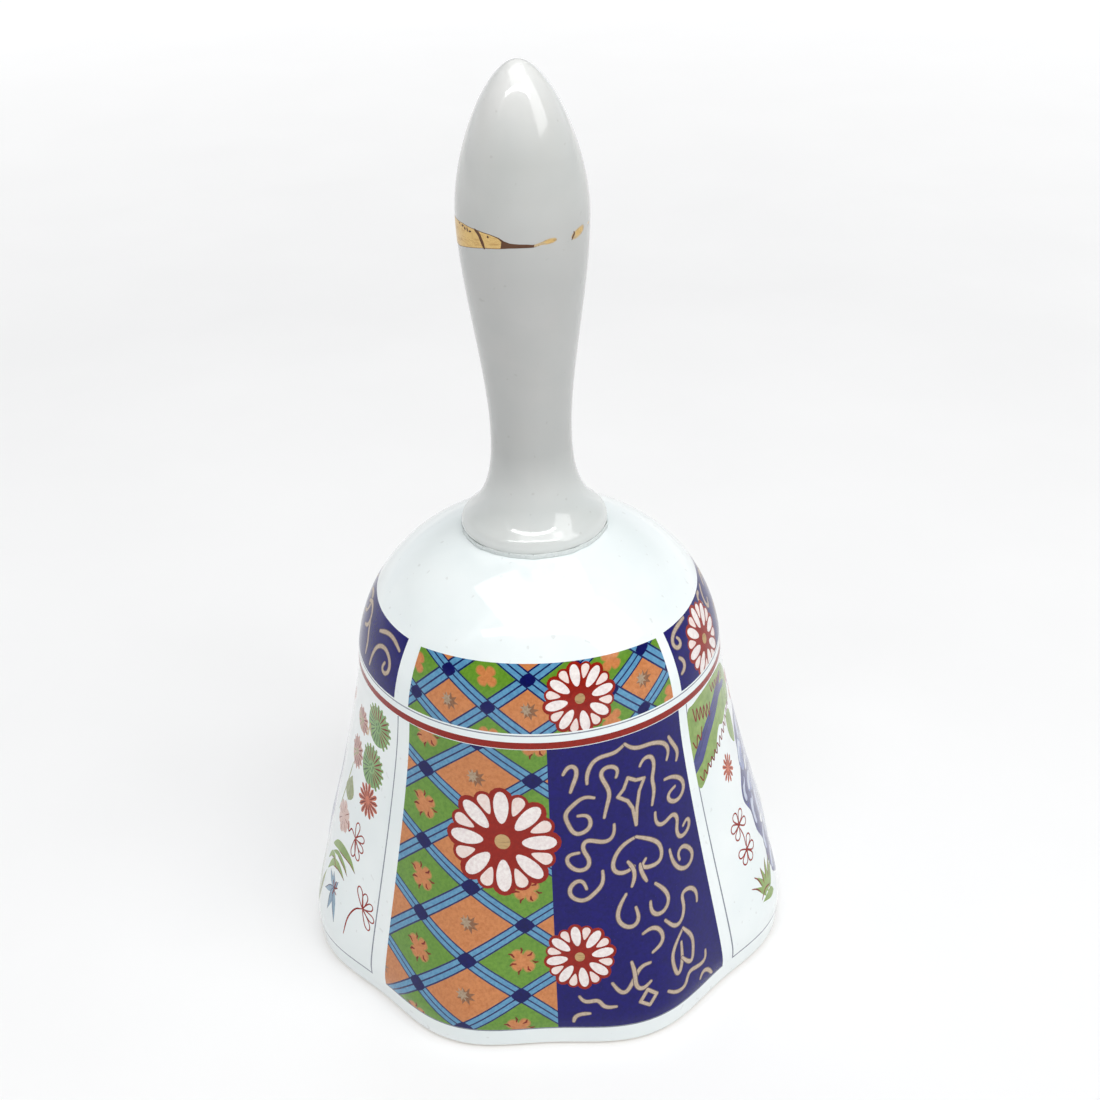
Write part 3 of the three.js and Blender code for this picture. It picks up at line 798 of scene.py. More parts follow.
def paint_side(painting, turned_by):
    """The navy band above the ring and the white garden panel below it."""
    west, east = (turned_by + a for a in SIDE_BAND)
    painting.band("navy", west, east, BAND_LOW, SIDE_BAND_HIGH)
    window = (west, east, BAND_LOW, SIDE_BAND_HIGH)
    left = Brush(painting, west, window)
    right = Brush(painting, east, window)
    for points in (
        [(5.5, 11.4), (2.6, 11), (0.9, 10), (0.9, 8.7), (2, 8.2), (2.9, 9), (2.2, 9.8)],
        [(1.2, 7), (2.1, 6.2), (1.7, 4.8), (0.8, 4.6)],
        [(13.6, 11.2), (12.2, 11.3), (11.9, 10.2), (13, 9.6)],
        [(16, 11), (14.6, 10.4), (14.3, 8.6), (15.4, 7.6), (16.4, 8.5)],
        [(18, 4), (19.5, 5.6), (21.6, 5), (21.4, 3.3), (19.9, 3.2)],
        [(18.2, 9.8), (20.4, 10.6), (22.8, 9.6), (23, 7.8), (21.4, 7.4)],
    ):
        left.scroll(points)
    for points in (
        [(-7.4, 9.4), (-5, 10.3), (-2.8, 10.2), (-1, 9.3)],
        [(-8.3, 3.4), (-7.8, 5.2), (-6.8, 7.2), (-4.6, 8.1), (-2.6, 7.2), (-2.1, 5.4), (-3.3, 4.3),
         (-4.3, 5.1), (-3.6, 6.1)],
        [(-12.4, 9.2), (-11.6, 7.4), (-10.6, 6), (-10.7, 4)],
        [(-17, 9.2), (-14.6, 10.2), (-12.4, 9.4), (-12.6, 7.4), (-14.4, 6.8)],
    ):
        right.scroll(points)
    left.chrysanthemum(9.0, 6.0, 5.5, 5)

    west, east = (turned_by + a for a in SIDE)
    window = (west, east, SIDE_LOW, PANEL_HIGH)
    left = Brush(painting, west, window)
    right = Brush(painting, east, window)
    painting.band("grey", west, east, SIDE_LOW, SIDE_LOW + FRAME_WIDTH)
    degrees = math.degrees(FRAME_WIDTH / RIM_RADIUS)
    painting.band("grey", west, west + degrees, SIDE_LOW, PANEL_HIGH)
    painting.band("grey", east - degrees, east, SIDE_LOW, PANEL_HIGH)

    # An old pine leaning in from the corner, with its trunk and clustered needles.
    canopy = [(0, -3.2), (2, -1.6), (6.5, -0.9), (10.5, -0.9), (14.5, -2), (17.5, -6), (16.6, -9.6),
              (13.4, -9.4), (10.6, -10.4),
              (9, -9.8), (7.4, -11.2), (6.6, -12.6), (5.2, -13.2), (3.8, -13.4), (2.4, -15), (0, -15)]
    left.fill("leaf_green", smooth(canopy, 5, closed=True))
    left.line("rock", [(12.5, -2.6), (10.2, -4.6), (7.4, -6.4), (4, -8.6), (1.4, -11), (-0.8, -13)], 2.6, 0.3)
    left.line("rock", [(15, -5.6), (12.4, -5), (9.4, -5.4)], 1.2, 0.3)
    left.line("rock_line", [(10.6, -4), (7.4, -6), (4, -8.2), (1.4, -10.6)], 0.22)
    for start, end, waves, sway in (((0.9, -14.6), (16, -9.4), 12, 0.62), ((1.6, -3.6), (6.8, -5.4), 5, 1.15),
                                    ((3.4, -7.4), (0.6, -8.6), 2, 0.8), ((7.6, -2.4), (14, -3.4), 6, 0.7)):
        t = np.arange(2 * waves + 1) / (2 * waves)
        line = np.array(start) + np.outer(t, np.subtract(end, start))
        line[:, 1] += sway * (1 - 2 * (np.arange(2 * waves + 1) % 2))
        left.fill("dark_red", stroke(smooth(line, 4), 0.28, 0.9))
    left.fill("leaf_green", smooth([(13, -10.4), (15.4, -11), (15.8, -14), (14.6, -16.4), (12.8, -14.4),
                                    (12.4, -12)], 5, closed=True))
    left.daisy("coral", 9, -17.5, 12, 2.5, 0.36, 0.82)
    left.outlined_bloom(7.9, -27.2, 0.95, 20, 5, 62)
    left.outlined_bloom(8.3, -32.0, 0.95, 200, 5, 58)
    left.line("red", [(7.9, -27.8), (8.4, -29.6), (8.3, -31.4)], 0.26)

    # The garden rock with a bare tree, and grass at its foot.
    rock = [(19, -13.5), (15.6, -16), (14.6, -20), (12, -23.2), (11.6, -25.6), (13.2, -28.5), (13.4, -32),
            (15.2, -35.4),
            (14.6, -38.8), (17.6, -43.2), (24, -45.2), (30, -43.8), (32, -39.6), (29, -36), (30.8, -31.4),
            (27.4, -28), (28, -22.4), (24, -19), (22, -14.6)]
    left.fill("rock", smooth(rock, 4, closed=True))
    lobes = (
        (20.4, -17.0, 3.4, 2.9, 25), (16.4, -20.0, 2.2, 2.8, -25), (22.4, -22.6, 2.6, 3.6, 15),
             (14.0, -24.8, 2.2, 1.9, 30),
        (18.2, -26.2, 3.2, 1.8, -15), (25.4, -25.6, 2.2, 2.9, -20), (15.6, -30.0, 2.1, 3.4, 10),
             (20.8, -31.2, 3.4, 2.9, 35),
        (27.2, -32.0, 3.2, 2.3, -25), (17.2, -36.0, 2.4, 2.1, 20), (23.0, -36.9, 3.8, 2.5, -12),
             (29.0, -38.0, 2.3, 3.2, 10),
        (18.4, -41.0, 3.0, 2.3, -15), (24.4, -42.2, 3.4, 2.2, 12), (29.2, -42.6, 1.5, 1.2, 0),
    )
    for k, (p, q, width, height, angle) in enumerate(lobes):
        left.boulder(("rock", "rock_mid", "rock_wash")[k * 2 % 3], p, q, width, height, angle)
    for p, q, width, height, angle in (
        (18.6, -23.0, 1.5, 0.6, 20), (23.4, -28.4, 0.7, 1.3, -15), (18.6, -33.6, 1.4, 0.7, -20),
                                       (25.6, -34.2, 1.2, 0.5, 15),
        (20.6, -39.2, 0.6, 1.1, 10),
    ):
        left.fill("rock_line", moved(oval(width + 0.22, height + 0.22, 16), p, q, angle))
        left.fill("glaze", moved(oval(width, height, 16), p, q, angle))
    for branch in ([(19.4, -15), (20.6, -12), (19.8, -8.4), (21.6, -5.4)],
                   [(20.4, -11.6), (23, -10), (24.4, -8.4)], [(20, -9.4), (18.6, -7.4)]):
        left.line("rock", branch, 0.8, 0.35)
    for p, q in ((21.8, -5), (24.6, -8), (18.4, -7), (22.4, -10.4), (20, -11)):
        left.daisy("coral", p, q, 7, 1.3, 0.42, 1.0, 0.13)
        left.fill("gold_dot", moved(oval(0.3, 0.3, 8), p, q))
    for k, (length, bend) in enumerate(((3.6, -3.4), (4.6, -2.6), (5.2, -0.8), (5, 1.2), (4.6, 2.8),
                                        (3.6, 3.6))):
        place_p, place_q = 10.4 + 0.5 * k, -42.4 + 0.35 * (k % 2)
        left.fill("leaf_green", moved(leaf(length, 0.85, bend), place_p, place_q))
        left.line("dark_red", moved([(bend * 0.2 - 0.5, length * 0.42), (bend * 0.55 - 0.3, length * 0.78),
                                     (bend, length)], place_p, place_q), 0.24)
    left.fill("leaf_green", moved(leaf(4.4, 1.0, -1.4), 13.6, -43.6, 62))
    left.line("dark_red", [(9, -42.2), (10.6, -41.2), (12.4, -41.6)], 0.28)

    # Chrysanthemums, dragonflies, grass and an iris beside the other frame line.
    right.round_bloom("bloom_green", "deep_green", -5.5, -5.5, 3.3, 3.3)
    right.round_bloom("bloom_green", "deep_green", -6.4, -13.1, 3.2, 3.3)
    right.daisy("coral", -6.2, -18.9, 14, 3.0, 0.42, 1.0, 0.3)
    right.round_bloom("bud", "olive", -11.5, -7.8, 2.3, 1.9, 12)
    right.round_bloom("bud", "olive", -12.3, -13.9, 2.3, 2.3, 13, 0.9)
    right.line("gold_dot", [(-9.4, -7), (-8.8, -8.8), (-8.2, -6.4), (-7.6, -8.2)], 0.28)
    right.fill("olive", moved(leaf(4.4, 2.5, 0.8), -12.9, -23.0, 8))
    right.line("olive", [(-16.5, -27), (-14.6, -21), (-13.4, -16.6)], 0.36)
    right.daisy("pale_bud", -13.3, -26.2, 8, 2.6, 0.8, 1.2, 0.13)
    right.line("red", [(-10.9, -25.6), (-10.3, -26.9), (-9.4, -26.0), (-7.9, -26.8)], 0.28)
    right.winged(-7.9, -26.8, ((0.3, 2.9), (2.4, 1.1), (2.5, -1.1), (1.6, -3.1), (-0.1, -3.2)))
    right.winged(-3.5, -37.2, ((-1.5, 3.4), (0.4, 2.9), (2.2, 1.5), (2.9, -1.0), (2.0, -3.0)))
    right.line("red", [(-3.5, -37.2), (-5.2, -38.2), (-6.6, -40.6), (-7.2, -44.0)], 0.3)
    right.arching_leaf([(-15.4, -32.6), (-13, -31.2), (-10.5, -30.8), (-8.2, -31.2), (-6.5, -32.4)], 1.7)
    right.arching_leaf([(-14.6, -33.4), (-12.2, -32.4), (-9.8, -32.9), (-8.4, -34)], 0.9)
    right.arching_leaf([(-15.6, -37.4), (-13.8, -35), (-12, -34.2), (-10.4, -34.4), (-9, -35.2)], 1.3)
    right.arching_leaf([(-16.4, -36), (-15, -34.2), (-13.4, -33.8), (-12, -35)], 0.9)
    for across, along, width in ((-2.6, 1.6, 0.6), (-1.2, 2.2, 0.6), (0.8, 1.8, 0.5), (-3.2, -2.6, 0.6),
                                 (-0.8, -4.8, 0.75), (1.8, -5.4, 0.65)):
        shape = moved(leaf(math.hypot(across, along), width, 0.3), -11.6, -38.2,
                      math.degrees(math.atan2(-across, along)))
        right.fill("iris_blue", shape)
        right.fill("rock_line", stroke(shape[: len(shape) // 2 + 1], 0.16, 0.7))
    for across, along in ((-0.8, 1.2), (0.3, 1.6), (1.0, 0.8), (0.9, -0.5), (-0.3, -1.0)):
        right.line("dark_red", [(-11.4, -38.4), (-11.4 + 0.6 * across, -38.4 + 0.7 * along),
                                (-11.4 + across, -38.4 + along)], 0.26)
    for p, q, angle, length in ((-19.5, -46.5, 12, 11), (-18.5, -46.5, -8, 9), (-20.5, -46.5, 28, 8)):
        right.fill("olive", moved(leaf(length, 0.9, 1.4), p, q, angle))


def paint_cup():
    painting = Painting(CUP, 35.0, -224.8, -49.5, 13.5, CUP_SEGMENTS, 1.35)
    for turned_by in (0, -180):
        paint_panel(painting, turned_by)
        paint_side(painting, turned_by)
    painting.ring("red", -0.55, 0.55)
    painting.ring("grey", 1.55, 1.75)
    return painting


def paint_handle():
    """A worn gold line round the belly, thick on one side and broken on the other."""
    painting = Painting(HANDLE, 9.3, -180, -5.4, 2.2, HANDLE_SEGMENTS, 0.55)
    brush = Brush(painting, 0)
    mm = math.pi * BELLY_RADIUS / 180

    def patch(paint, edge):
        brush.fill(paint, [(azimuth * mm, z - BELLY_Z) for azimuth, z in edge])

    patch("gold_burnt", [(-90, 119.87), (-60, 119.87), (-48, 119.7), (-40, 119.57), (-28, 119.3),
                         (-20, 118.95), (-16, 118.55), (-11, 118.25),
                         (-4, 118.15), (3, 118.1), (8, 118.0), (15, 118.15), (15, 117.85), (8, 117.6),
                         (-2, 117.6), (-12, 117.55),
                         (-20, 117.4), (-35, 117.2), (-50, 116.8), (-70, 116.2), (-90, 116.0)])
    patch("gold", [(-90, 119.8), (-60, 119.8), (-48, 119.62), (-40, 119.48), (-28, 119.2), (-21, 118.85),
                   (-18, 118.4), (-18.5, 117.8),
                   (-19, 117.5), (-35, 117.27), (-50, 116.87), (-70, 116.27), (-90, 116.07)])
    brush.line("gold_burnt", [(-42 * mm, -0.1), (-39 * mm, -0.6), (-36.5 * mm, -1.4), (-34 * mm, -2.4)],
               0.5, 0.5)
    brush.line("gold_burnt", [(-44 * mm, 0.05), (-40.5 * mm, -0.35), (-38 * mm, -0.8)], 0.42, 0.3)
    for azimuth, z, wide, high in ((-60, 119.5, 0.3, 0.16), (-56.5, 119.25, 0.2, 0.24),
                                   (-53, 119.2, 0.16, 0.3), (-49.5, 119.1, 0.3, 0.14),
                                   (-66, 119.6, 0.3, 0.1), (-30, 118.9, 0.14, 0.2)):
        brush.fill("gold_burnt", moved(oval(wide, high, 9), azimuth * mm, z - BELLY_Z, 12))
    patch("gold_worn", [(9, 118.0), (12, 118.12), (16, 118.3), (19, 118.5), (23, 118.62), (27, 118.6),
                        (29, 118.4), (28.5, 118.1),
                        (25, 117.9), (20, 117.82), (16, 117.85), (12, 117.75), (9, 117.7)])
    patch("gold", [(17, 118.2), (21, 118.45), (26, 118.48), (28, 118.3), (26, 118.05), (20, 117.95)])
    patch("gold_worn", [(43.5, 118.1), (46, 118.5), (50, 118.85), (55, 119.05), (60, 119.1), (62, 118.8),
                        (61, 118.3), (57, 117.9), (51, 117.65), (46, 117.6)])
    patch("gold", [(49, 118.5), (53, 118.8), (58, 118.92), (60, 118.6), (58, 118.2), (53, 117.95),
                   (49, 118.0)])
    brush.line("gold_burnt", [(44.5 * mm, -1.95), (46 * mm, -1.5), (47.5 * mm, -1.2), (47 * mm, -0.85)],
               0.3, 0.4)
    patch("gold_worn", [(70, 118.8), (73, 118.95), (75, 118.7), (72, 118.5)])
    patch("gold_worn", [(96, 118.5), (104, 118.8), (112, 118.7), (122, 118.6), (131, 118.5), (133, 117.9),
                        (124, 117.5), (114, 117.6), (104, 117.5), (97, 117.8)])
    patch("gold", [(99, 118.3), (108, 118.55), (118, 118.4), (129, 118.3), (129, 118.0), (118, 117.75),
                   (106, 117.75), (99, 117.95)])
    patch("gold_burnt", [(-172, 118.5), (-150, 118.9), (-128, 119.4), (-104, 119.85), (-90, 119.87),
                         (-90, 116.0), (-104, 116.1), (-130, 116.7),
                         (-152, 117.2), (-172, 117.7)])
    patch("gold", [(-170, 118.38), (-150, 118.82), (-128, 119.32), (-104, 119.78), (-90, 119.8),
                   (-90, 116.07), (-104, 116.17), (-130, 116.77),
                   (-152, 117.27), (-170, 117.75)])
    return painting


# ---------- materials ----------
def srgb(red, green, blue):
    """A linear colour from 0 to 255 screen values."""
    c = np.array([red, green, blue]) / 255
    c = np.where(c < 0.04045, c / 12.92, ((c + 0.055) / 1.055) ** 2.4)
    return (*c.tolist(), 1.0)


class Recipe:
    """A procedural material under construction. Pattern sizes are in millimetres on the piece."""

    def __init__(self, name, fixed):
        self.material = bpy.data.materials.new(name)
        self.material.use_nodes = True
        self.tree = self.material.node_tree
        self.shader = self.tree.nodes["Principled BSDF"]
        for socket, value in fixed.items():
            self.shader.inputs[socket].default_value = value
        self.place = self.tree.nodes.new("ShaderNodeTexCoord").outputs["Object"]
        self.normal = None

    def stretched(self, x, y, z):
        """Coordinates squeezed along each axis."""
        node = self.tree.nodes.new("ShaderNodeMapping")
        node.inputs["Scale"].default_value = (x, y, z)
        self.tree.links.new(self.place, node.inputs["Vector"])
        return node.outputs["Vector"]

    def noise(self, size, detail=2.0, roughness=0.5, distortion=0.0, place=None):
        node = self.tree.nodes.new("ShaderNodeTexNoise")
        node.inputs["Scale"].default_value = 1 / (size * MM)
        node.inputs["Detail"].default_value = detail
        node.inputs["Roughness"].default_value = roughness
        node.inputs["Distortion"].default_value = distortion
        self.tree.links.new(place or self.place, node.inputs["Vector"])
        return node.outputs["Fac"]

    def cells(self, size, feature="F1"):
        node = self.tree.nodes.new("ShaderNodeTexVoronoi")
        node.feature = feature
        node.inputs["Scale"].default_value = 1 / (size * MM)
        self.tree.links.new(self.place, node.inputs["Vector"])
        return node.outputs["Distance"]

    def ramp(self, factor, *stops):
        node = self.tree.nodes.new("ShaderNodeValToRGB")
        self.tree.links.new(factor, node.inputs["Fac"])
        elements = node.color_ramp.elements
        while len(elements) < len(stops):
            elements.new(0.5)
        for element, (position, colour) in zip(elements, stops):
            element.position = position
            element.color = colour if len(colour) == 4 else srgb(*colour)
        return node.outputs["Color"]

    def spread(self, factor, low, high, to_low, to_high):
        """The factor from low to high, mapped to another range and held there."""
        node = self.tree.nodes.new("ShaderNodeMapRange")
        for socket, value in zip(("From Min", "From Max", "To Min", "To Max"), (low, high, to_low, to_high)):
            node.inputs[socket].default_value = value
        self.tree.links.new(factor, node.inputs["Value"])
        return node.outputs["Result"]

    def mix(self, factor, a, b, blend="MIX"):
        node = self.tree.nodes.new("ShaderNodeMix")
        node.data_type = "RGBA"
        node.blend_type = blend
        for socket, value in ((node.inputs[0], factor), (node.inputs[6], a), (node.inputs[7], b)):
            if isinstance(value, (tuple, float)):
                socket.default_value = value
            else:
                self.tree.links.new(value, socket)
        return node.outputs[2]

    def bump(self, height, millimetres, strength=1.0):
        node = self.tree.nodes.new("ShaderNodeBump")
        node.inputs["Distance"].default_value = millimetres * MM
        node.inputs["Strength"].default_value = strength
        self.tree.links.new(height, node.inputs["Height"])
        if self.normal is not None:
            self.tree.links.new(self.normal, node.inputs["Normal"])
        self.normal = node.outputs["Normal"]

    def done(self, colour=None, roughness=None):
        if colour is not None:
            self.tree.links.new(colour, self.shader.inputs["Base Color"])
        if roughness is not None:
            self.tree.links.new(roughness, self.shader.inputs["Roughness"])
        if self.normal is not None:
            self.tree.links.new(self.normal, self.shader.inputs["Normal"])
        return self.material


def glaze(name, pale, pooled, specks=0.79, heights=()):
    """Clear glaze on white porcelain: slow tint changes, iron specks, and a faint orange-peel.

    heights gives tints, each as a height in millimetres and a colour to multiply by. The handle's follow
    the photo's shading, so that shade is painted in and stays under any other light."""
    recipe = Recipe(name, {"IOR": 1.52, "Coat Weight": 0.35, "Coat Roughness": 0.03})
    tint = recipe.ramp(recipe.noise(17, 3, 0.55, 0.4), (0.3, pooled), (0.68, pale))
    speck = recipe.spread(recipe.noise(0.9, 0, 0.5), specks, specks + 0.04, 0, 0.14)
    tint = recipe.mix(recipe.spread(recipe.noise(6, 4, 0.6), 0.35, 0.75, 0.0, 0.16), tint,
                      srgb(226, 232, 234))
    # The height tints are painted light and shade, multiplied into the glaze colour.
    if heights:
        split = recipe.tree.nodes.new("ShaderNodeSeparateXYZ")
        recipe.tree.links.new(recipe.place, split.inputs[0])
        height = recipe.spread(split.outputs["Z"], 0, TOTAL_HEIGHT * MM, 0, 1)
        wash = recipe.ramp(height, *((z / TOTAL_HEIGHT, colour) for z, colour in heights))
        tint = recipe.mix(1.0, tint, wash, "MULTIPLY")
    tint = recipe.mix(speck, tint, srgb(122, 112, 100))
    recipe.bump(recipe.noise(7.5, 1.5, 0.4), 0.05, 0.5)
    recipe.bump(recipe.noise(1.1, 1, 0.4), 0.003, 0.4)
    return recipe.done(tint, recipe.spread(recipe.noise(5, 3, 0.6), 0.3, 0.75, 0.06, 0.12))


def enamel(name, colour, deep, gloss=(0.12, 0.26), grain=0.55, fixed=None):
    """A printed enamel: slightly uneven film with pinholes, fired under a thin gloss."""
    recipe = Recipe(name, {"IOR": 1.48, "Coat Weight": 0.15, "Coat Roughness": 0.04} | (fixed or {}))
    film = recipe.ramp(recipe.noise(grain, 4, 0.62, 0.2), (0.3, deep), (0.62, colour))
    cloud = recipe.spread(recipe.noise(6.5, 3, 0.55), 0.35, 0.75, 0.0, 0.3)
    film = recipe.mix(cloud, film, srgb(*deep))
    pale = srgb(*(min(255, c * 0.55 + 112) for c in colour))
    film = recipe.mix(recipe.spread(recipe.cells(0.62), 0.03, 0.09, 0.22, 0), film, pale)
    recipe.bump(recipe.noise(7.5, 1.5, 0.4), 0.05, 0.5)
    recipe.bump(recipe.noise(0.32, 2, 0.5), 0.006, 0.45)
    return recipe.done(film, recipe.spread(recipe.noise(1.3, 3, 0.6), 0.3, 0.75, *gloss))


def gold_lustre(name, bright, worn, roughness, metallic=1.0):
    """Fired liquid gold: brushed streaks, rubbed thin in patches."""
    recipe = Recipe(name, {"Metallic": metallic})
    streaks = recipe.noise(1.6, 5, 0.65, 0.3, recipe.stretched(1, 1, 5))
    film = recipe.ramp(streaks, (0.28, worn), (0.5, bright), (0.72, bright))
    rubbed = recipe.spread(recipe.noise(2.4, 4, 0.7), 0.6, 0.72, 0, 0.6)
    film = recipe.mix(rubbed, film, srgb(*worn))
    recipe.bump(streaks, 0.012, 0.5)
    return recipe.done(film, recipe.spread(recipe.noise(0.8, 4, 0.6), 0.3, 0.7, *roughness))


def brass_wire(name, bright, tarnish, brown):
    """Drawn brass: fine scratches, brown tarnish in patches and a dull film."""
    recipe = Recipe(name, {"Metallic": 1.0})
    tone = recipe.ramp(recipe.noise(1.9, 5, 0.62, 0.6), (0.3, brown), (0.46, tarnish), (0.66, bright))
    scratches = recipe.noise(0.14, 3, 0.6, 0, recipe.stretched(1, 1, 0.22))
    tone = recipe.mix(recipe.spread(scratches, 0.55, 0.7, 0, 0.35), tone, srgb(235, 208, 150))
    recipe.bump(scratches, 0.006, 0.6)
    recipe.bump(recipe.noise(0.7, 3, 0.5), 0.02, 0.5)
    return recipe.done(tone, recipe.spread(recipe.noise(1.2, 4, 0.6), 0.3, 0.7, 0.24, 0.52))


def chalky(name, pale, dark, grain, depth, roughness=(0.8, 0.97)):
    """A matt porous mineral body: cement, plaster or bare biscuit."""
    recipe = Recipe(name, {"Specular IOR Level": 0.25})
    body = recipe.ramp(recipe.noise(grain, 6, 0.7), (0.3, dark), (0.7, pale))
    stain = recipe.spread(recipe.noise(grain * 6, 3, 0.6), 0.45, 0.75, 0, 0.45)
    body = recipe.mix(stain, body, srgb(*dark))
    # The pits of the pores are coloured darker: painted shade in them.
    pores = recipe.cells(grain * 1.4)
    body = recipe.mix(recipe.spread(pores, 0.05, 0.22, 0.5, 0), body, srgb(*(c * 0.6 for c in dark)))
    recipe.bump(pores, depth, 0.5)
    recipe.bump(recipe.noise(grain * 0.5, 5, 0.7), depth * 0.6, 0.7)
    return recipe.done(body, recipe.spread(recipe.noise(grain * 2, 2, 0.5), 0.3, 0.7, *roughness))


CUP_GLAZE = glaze("cup_glaze", (242, 247, 246), (232, 240, 240))
# The handle's height tints are painted light and shade: the collar and the tip paler, the neck and the belly
# darker.
HANDLE_GLAZE = glaze("handle_glaze", (238, 236, 234), (228, 228, 226), 0.81, (
    (72, (236, 240, 239)), (76, (226, 230, 229)), (85, (198, 200, 199)), (112, (202, 203, 202)),
                                                                              (128, (212, 214, 212)),
                                                                              (139, (246, 247, 246)),
))
BEAD_GLAZE = glaze("bead_glaze", (240, 240, 232), (224, 226, 218), 0.78)
BISCUIT = chalky("bare_biscuit", (232, 226, 214), (205, 196, 180), 0.6, 0.02)
GOLD = gold_lustre("gold_lustre", (214, 182, 122), (176, 138, 88), (0.18, 0.4))
GOLD_WORN = gold_lustre("gold_rubbed_edge", (196, 172, 132), (150, 124, 92), (0.25, 0.5), 0.4)
GOLD_BURNT = gold_lustre("gold_burnt_edge", (96, 62, 40), (58, 34, 26), (0.3, 0.55), 0.4)

MATTER = {"Specular IOR Level": 0.3, "Coat Weight": 0.05}
PAINTS = {
    "glaze": CUP_GLAZE,
    "biscuit": BISCUIT,
    "navy": enamel("enamel_navy", (18, 10, 108), (12, 6, 84), (0.1, 0.2), 0.55, MATTER),
    "knot_blue": enamel("enamel_knot_blue", (8, 14, 92), (4, 8, 70), (0.12, 0.22), 0.55, MATTER),
    "green": enamel("enamel_green", (104, 150, 42), (82, 128, 30)),
    "orange": enamel("enamel_orange", (206, 132, 76), (184, 110, 58)),
    "orange_rim": enamel("enamel_orange_rim", (168, 142, 66), (148, 122, 52)),
    "light_blue": enamel("enamel_light_blue", (98, 156, 190), (72, 130, 172)),
    "dark_blue": enamel("enamel_line_blue", (8, 24, 92), (4, 14, 70)),
    "red": enamel("enamel_red", (152, 30, 14), (130, 22, 10), (0.12, 0.26), 0.55, MATTER),
    "dark_red": enamel("enamel_dark_red", (136, 34, 22), (98, 22, 16), (0.12, 0.26), 0.55, MATTER),
    "coral": enamel("enamel_coral", (212, 118, 84), (184, 86, 58)),
    "white_petal": enamel("enamel_white", (242, 236, 232), (222, 208, 206)),
    "pale_petal": enamel("enamel_pale_pink", (238, 224, 218), (226, 202, 194)),
    "scroll": enamel("enamel_tan_gold", (198, 180, 160), (172, 152, 130), (0.3, 0.45), 0.4,
                     {"Metallic": 0.2}),
    "scroll_edge": enamel("enamel_tan_edge", (84, 62, 70), (62, 46, 74), (0.25, 0.4)),
    "star_light": enamel("enamel_star_light", (176, 156, 132), (150, 124, 98), (0.25, 0.4), 0.3,
                         {"Metallic": 0.2}),
    "star_dark": enamel("enamel_star_dark", (142, 98, 64), (116, 76, 50), (0.25, 0.4), 0.3),
    "grey": enamel("enamel_grey_line", (136, 140, 152), (112, 116, 130)),
    "deep_green": enamel("enamel_deep_green", (66, 104, 56), (48, 82, 42)),
    "leaf_green": enamel("enamel_leaf_green", (146, 172, 92), (116, 146, 66), (0.12, 0.26), 1.6),
    "bloom_green": enamel("enamel_bloom_green", (136, 176, 106), (108, 150, 82), (0.12, 0.26), 1.2),
    "olive": enamel("enamel_olive", (152, 162, 104), (122, 134, 76)),
    "bud": enamel("enamel_bud", (206, 164, 150), (182, 134, 122)),
    "pale_bud": enamel("enamel_pale_bud", (220, 190, 180), (204, 168, 156)),
    "rock": enamel("enamel_rock_blue", (60, 64, 134), (40, 44, 108), (0.1, 0.2), 1.8),
    "rock_mid": enamel("enamel_rock_mid", (98, 106, 164), (72, 80, 142), (0.1, 0.2), 1.8),
    "rock_wash": enamel("enamel_rock_wash", (136, 148, 188), (108, 122, 170), (0.1, 0.2), 1.8),
    "rock_light": enamel("enamel_rock_pale", (198, 206, 222), (170, 180, 206), (0.1, 0.2), 1.2),
    "rock_line": enamel("enamel_rock_line", (44, 46, 104), (30, 32, 82)),
    "iris_blue": enamel("enamel_iris_blue", (146, 172, 190), (116, 146, 170)),
    "gold_dot": gold_lustre("gold_dots", (196, 164, 116), (150, 118, 78), (0.3, 0.5), 0.6),
}
HANDLE_PAINTS = {"glaze": HANDLE_GLAZE, "gold": GOLD, "gold_worn": GOLD_WORN, "gold_burnt": GOLD_BURNT,
                 "biscuit": BISCUIT}
BRASS = brass_wire("aged_brass", (214, 176, 104), (172, 132, 70), (104, 72, 40))
CEMENT = chalky("luting_cement", (236, 240, 239), (216, 222, 220), 0.5, 0.02, (0.3, 0.5))
PLASTER = chalky("plug_plaster", (226, 220, 204), (188, 178, 158), 0.8, 0.08)


# ---------- cup and handle ----------
def points_between(profile, low, high, spacing):
    """The profile's points at an even spacing, both ends included."""
    r, z = profile.at(profile.span(low, high, spacing))
    return np.stack([r, z], 1)


def inner_profile():
    """The cup's outline set in by the wall, from the crown bore down to the foot."""
    outside = CUP.points
    ahead = np.gradient(outside, axis=0)
    ahead /= np.linalg.norm(ahead, axis=1)[:, None]
    wall = WALL_RIM + (WALL_CROWN - WALL_RIM) * outside[:, 1] / CROWN_Z
    inside = outside + np.stack([-ahead[:, 1] * wall, ahead[:, 0] * wall], 1)
    inside[0] = (RIM_RADIUS - WALL_RIM, FOOT_EDGE)
    inside[-1, 0] = CROWN_BORE_RADIUS
    return Profile(joined(inside[::-1]), WAIST_Z)


BORE_EDGE = 0.3


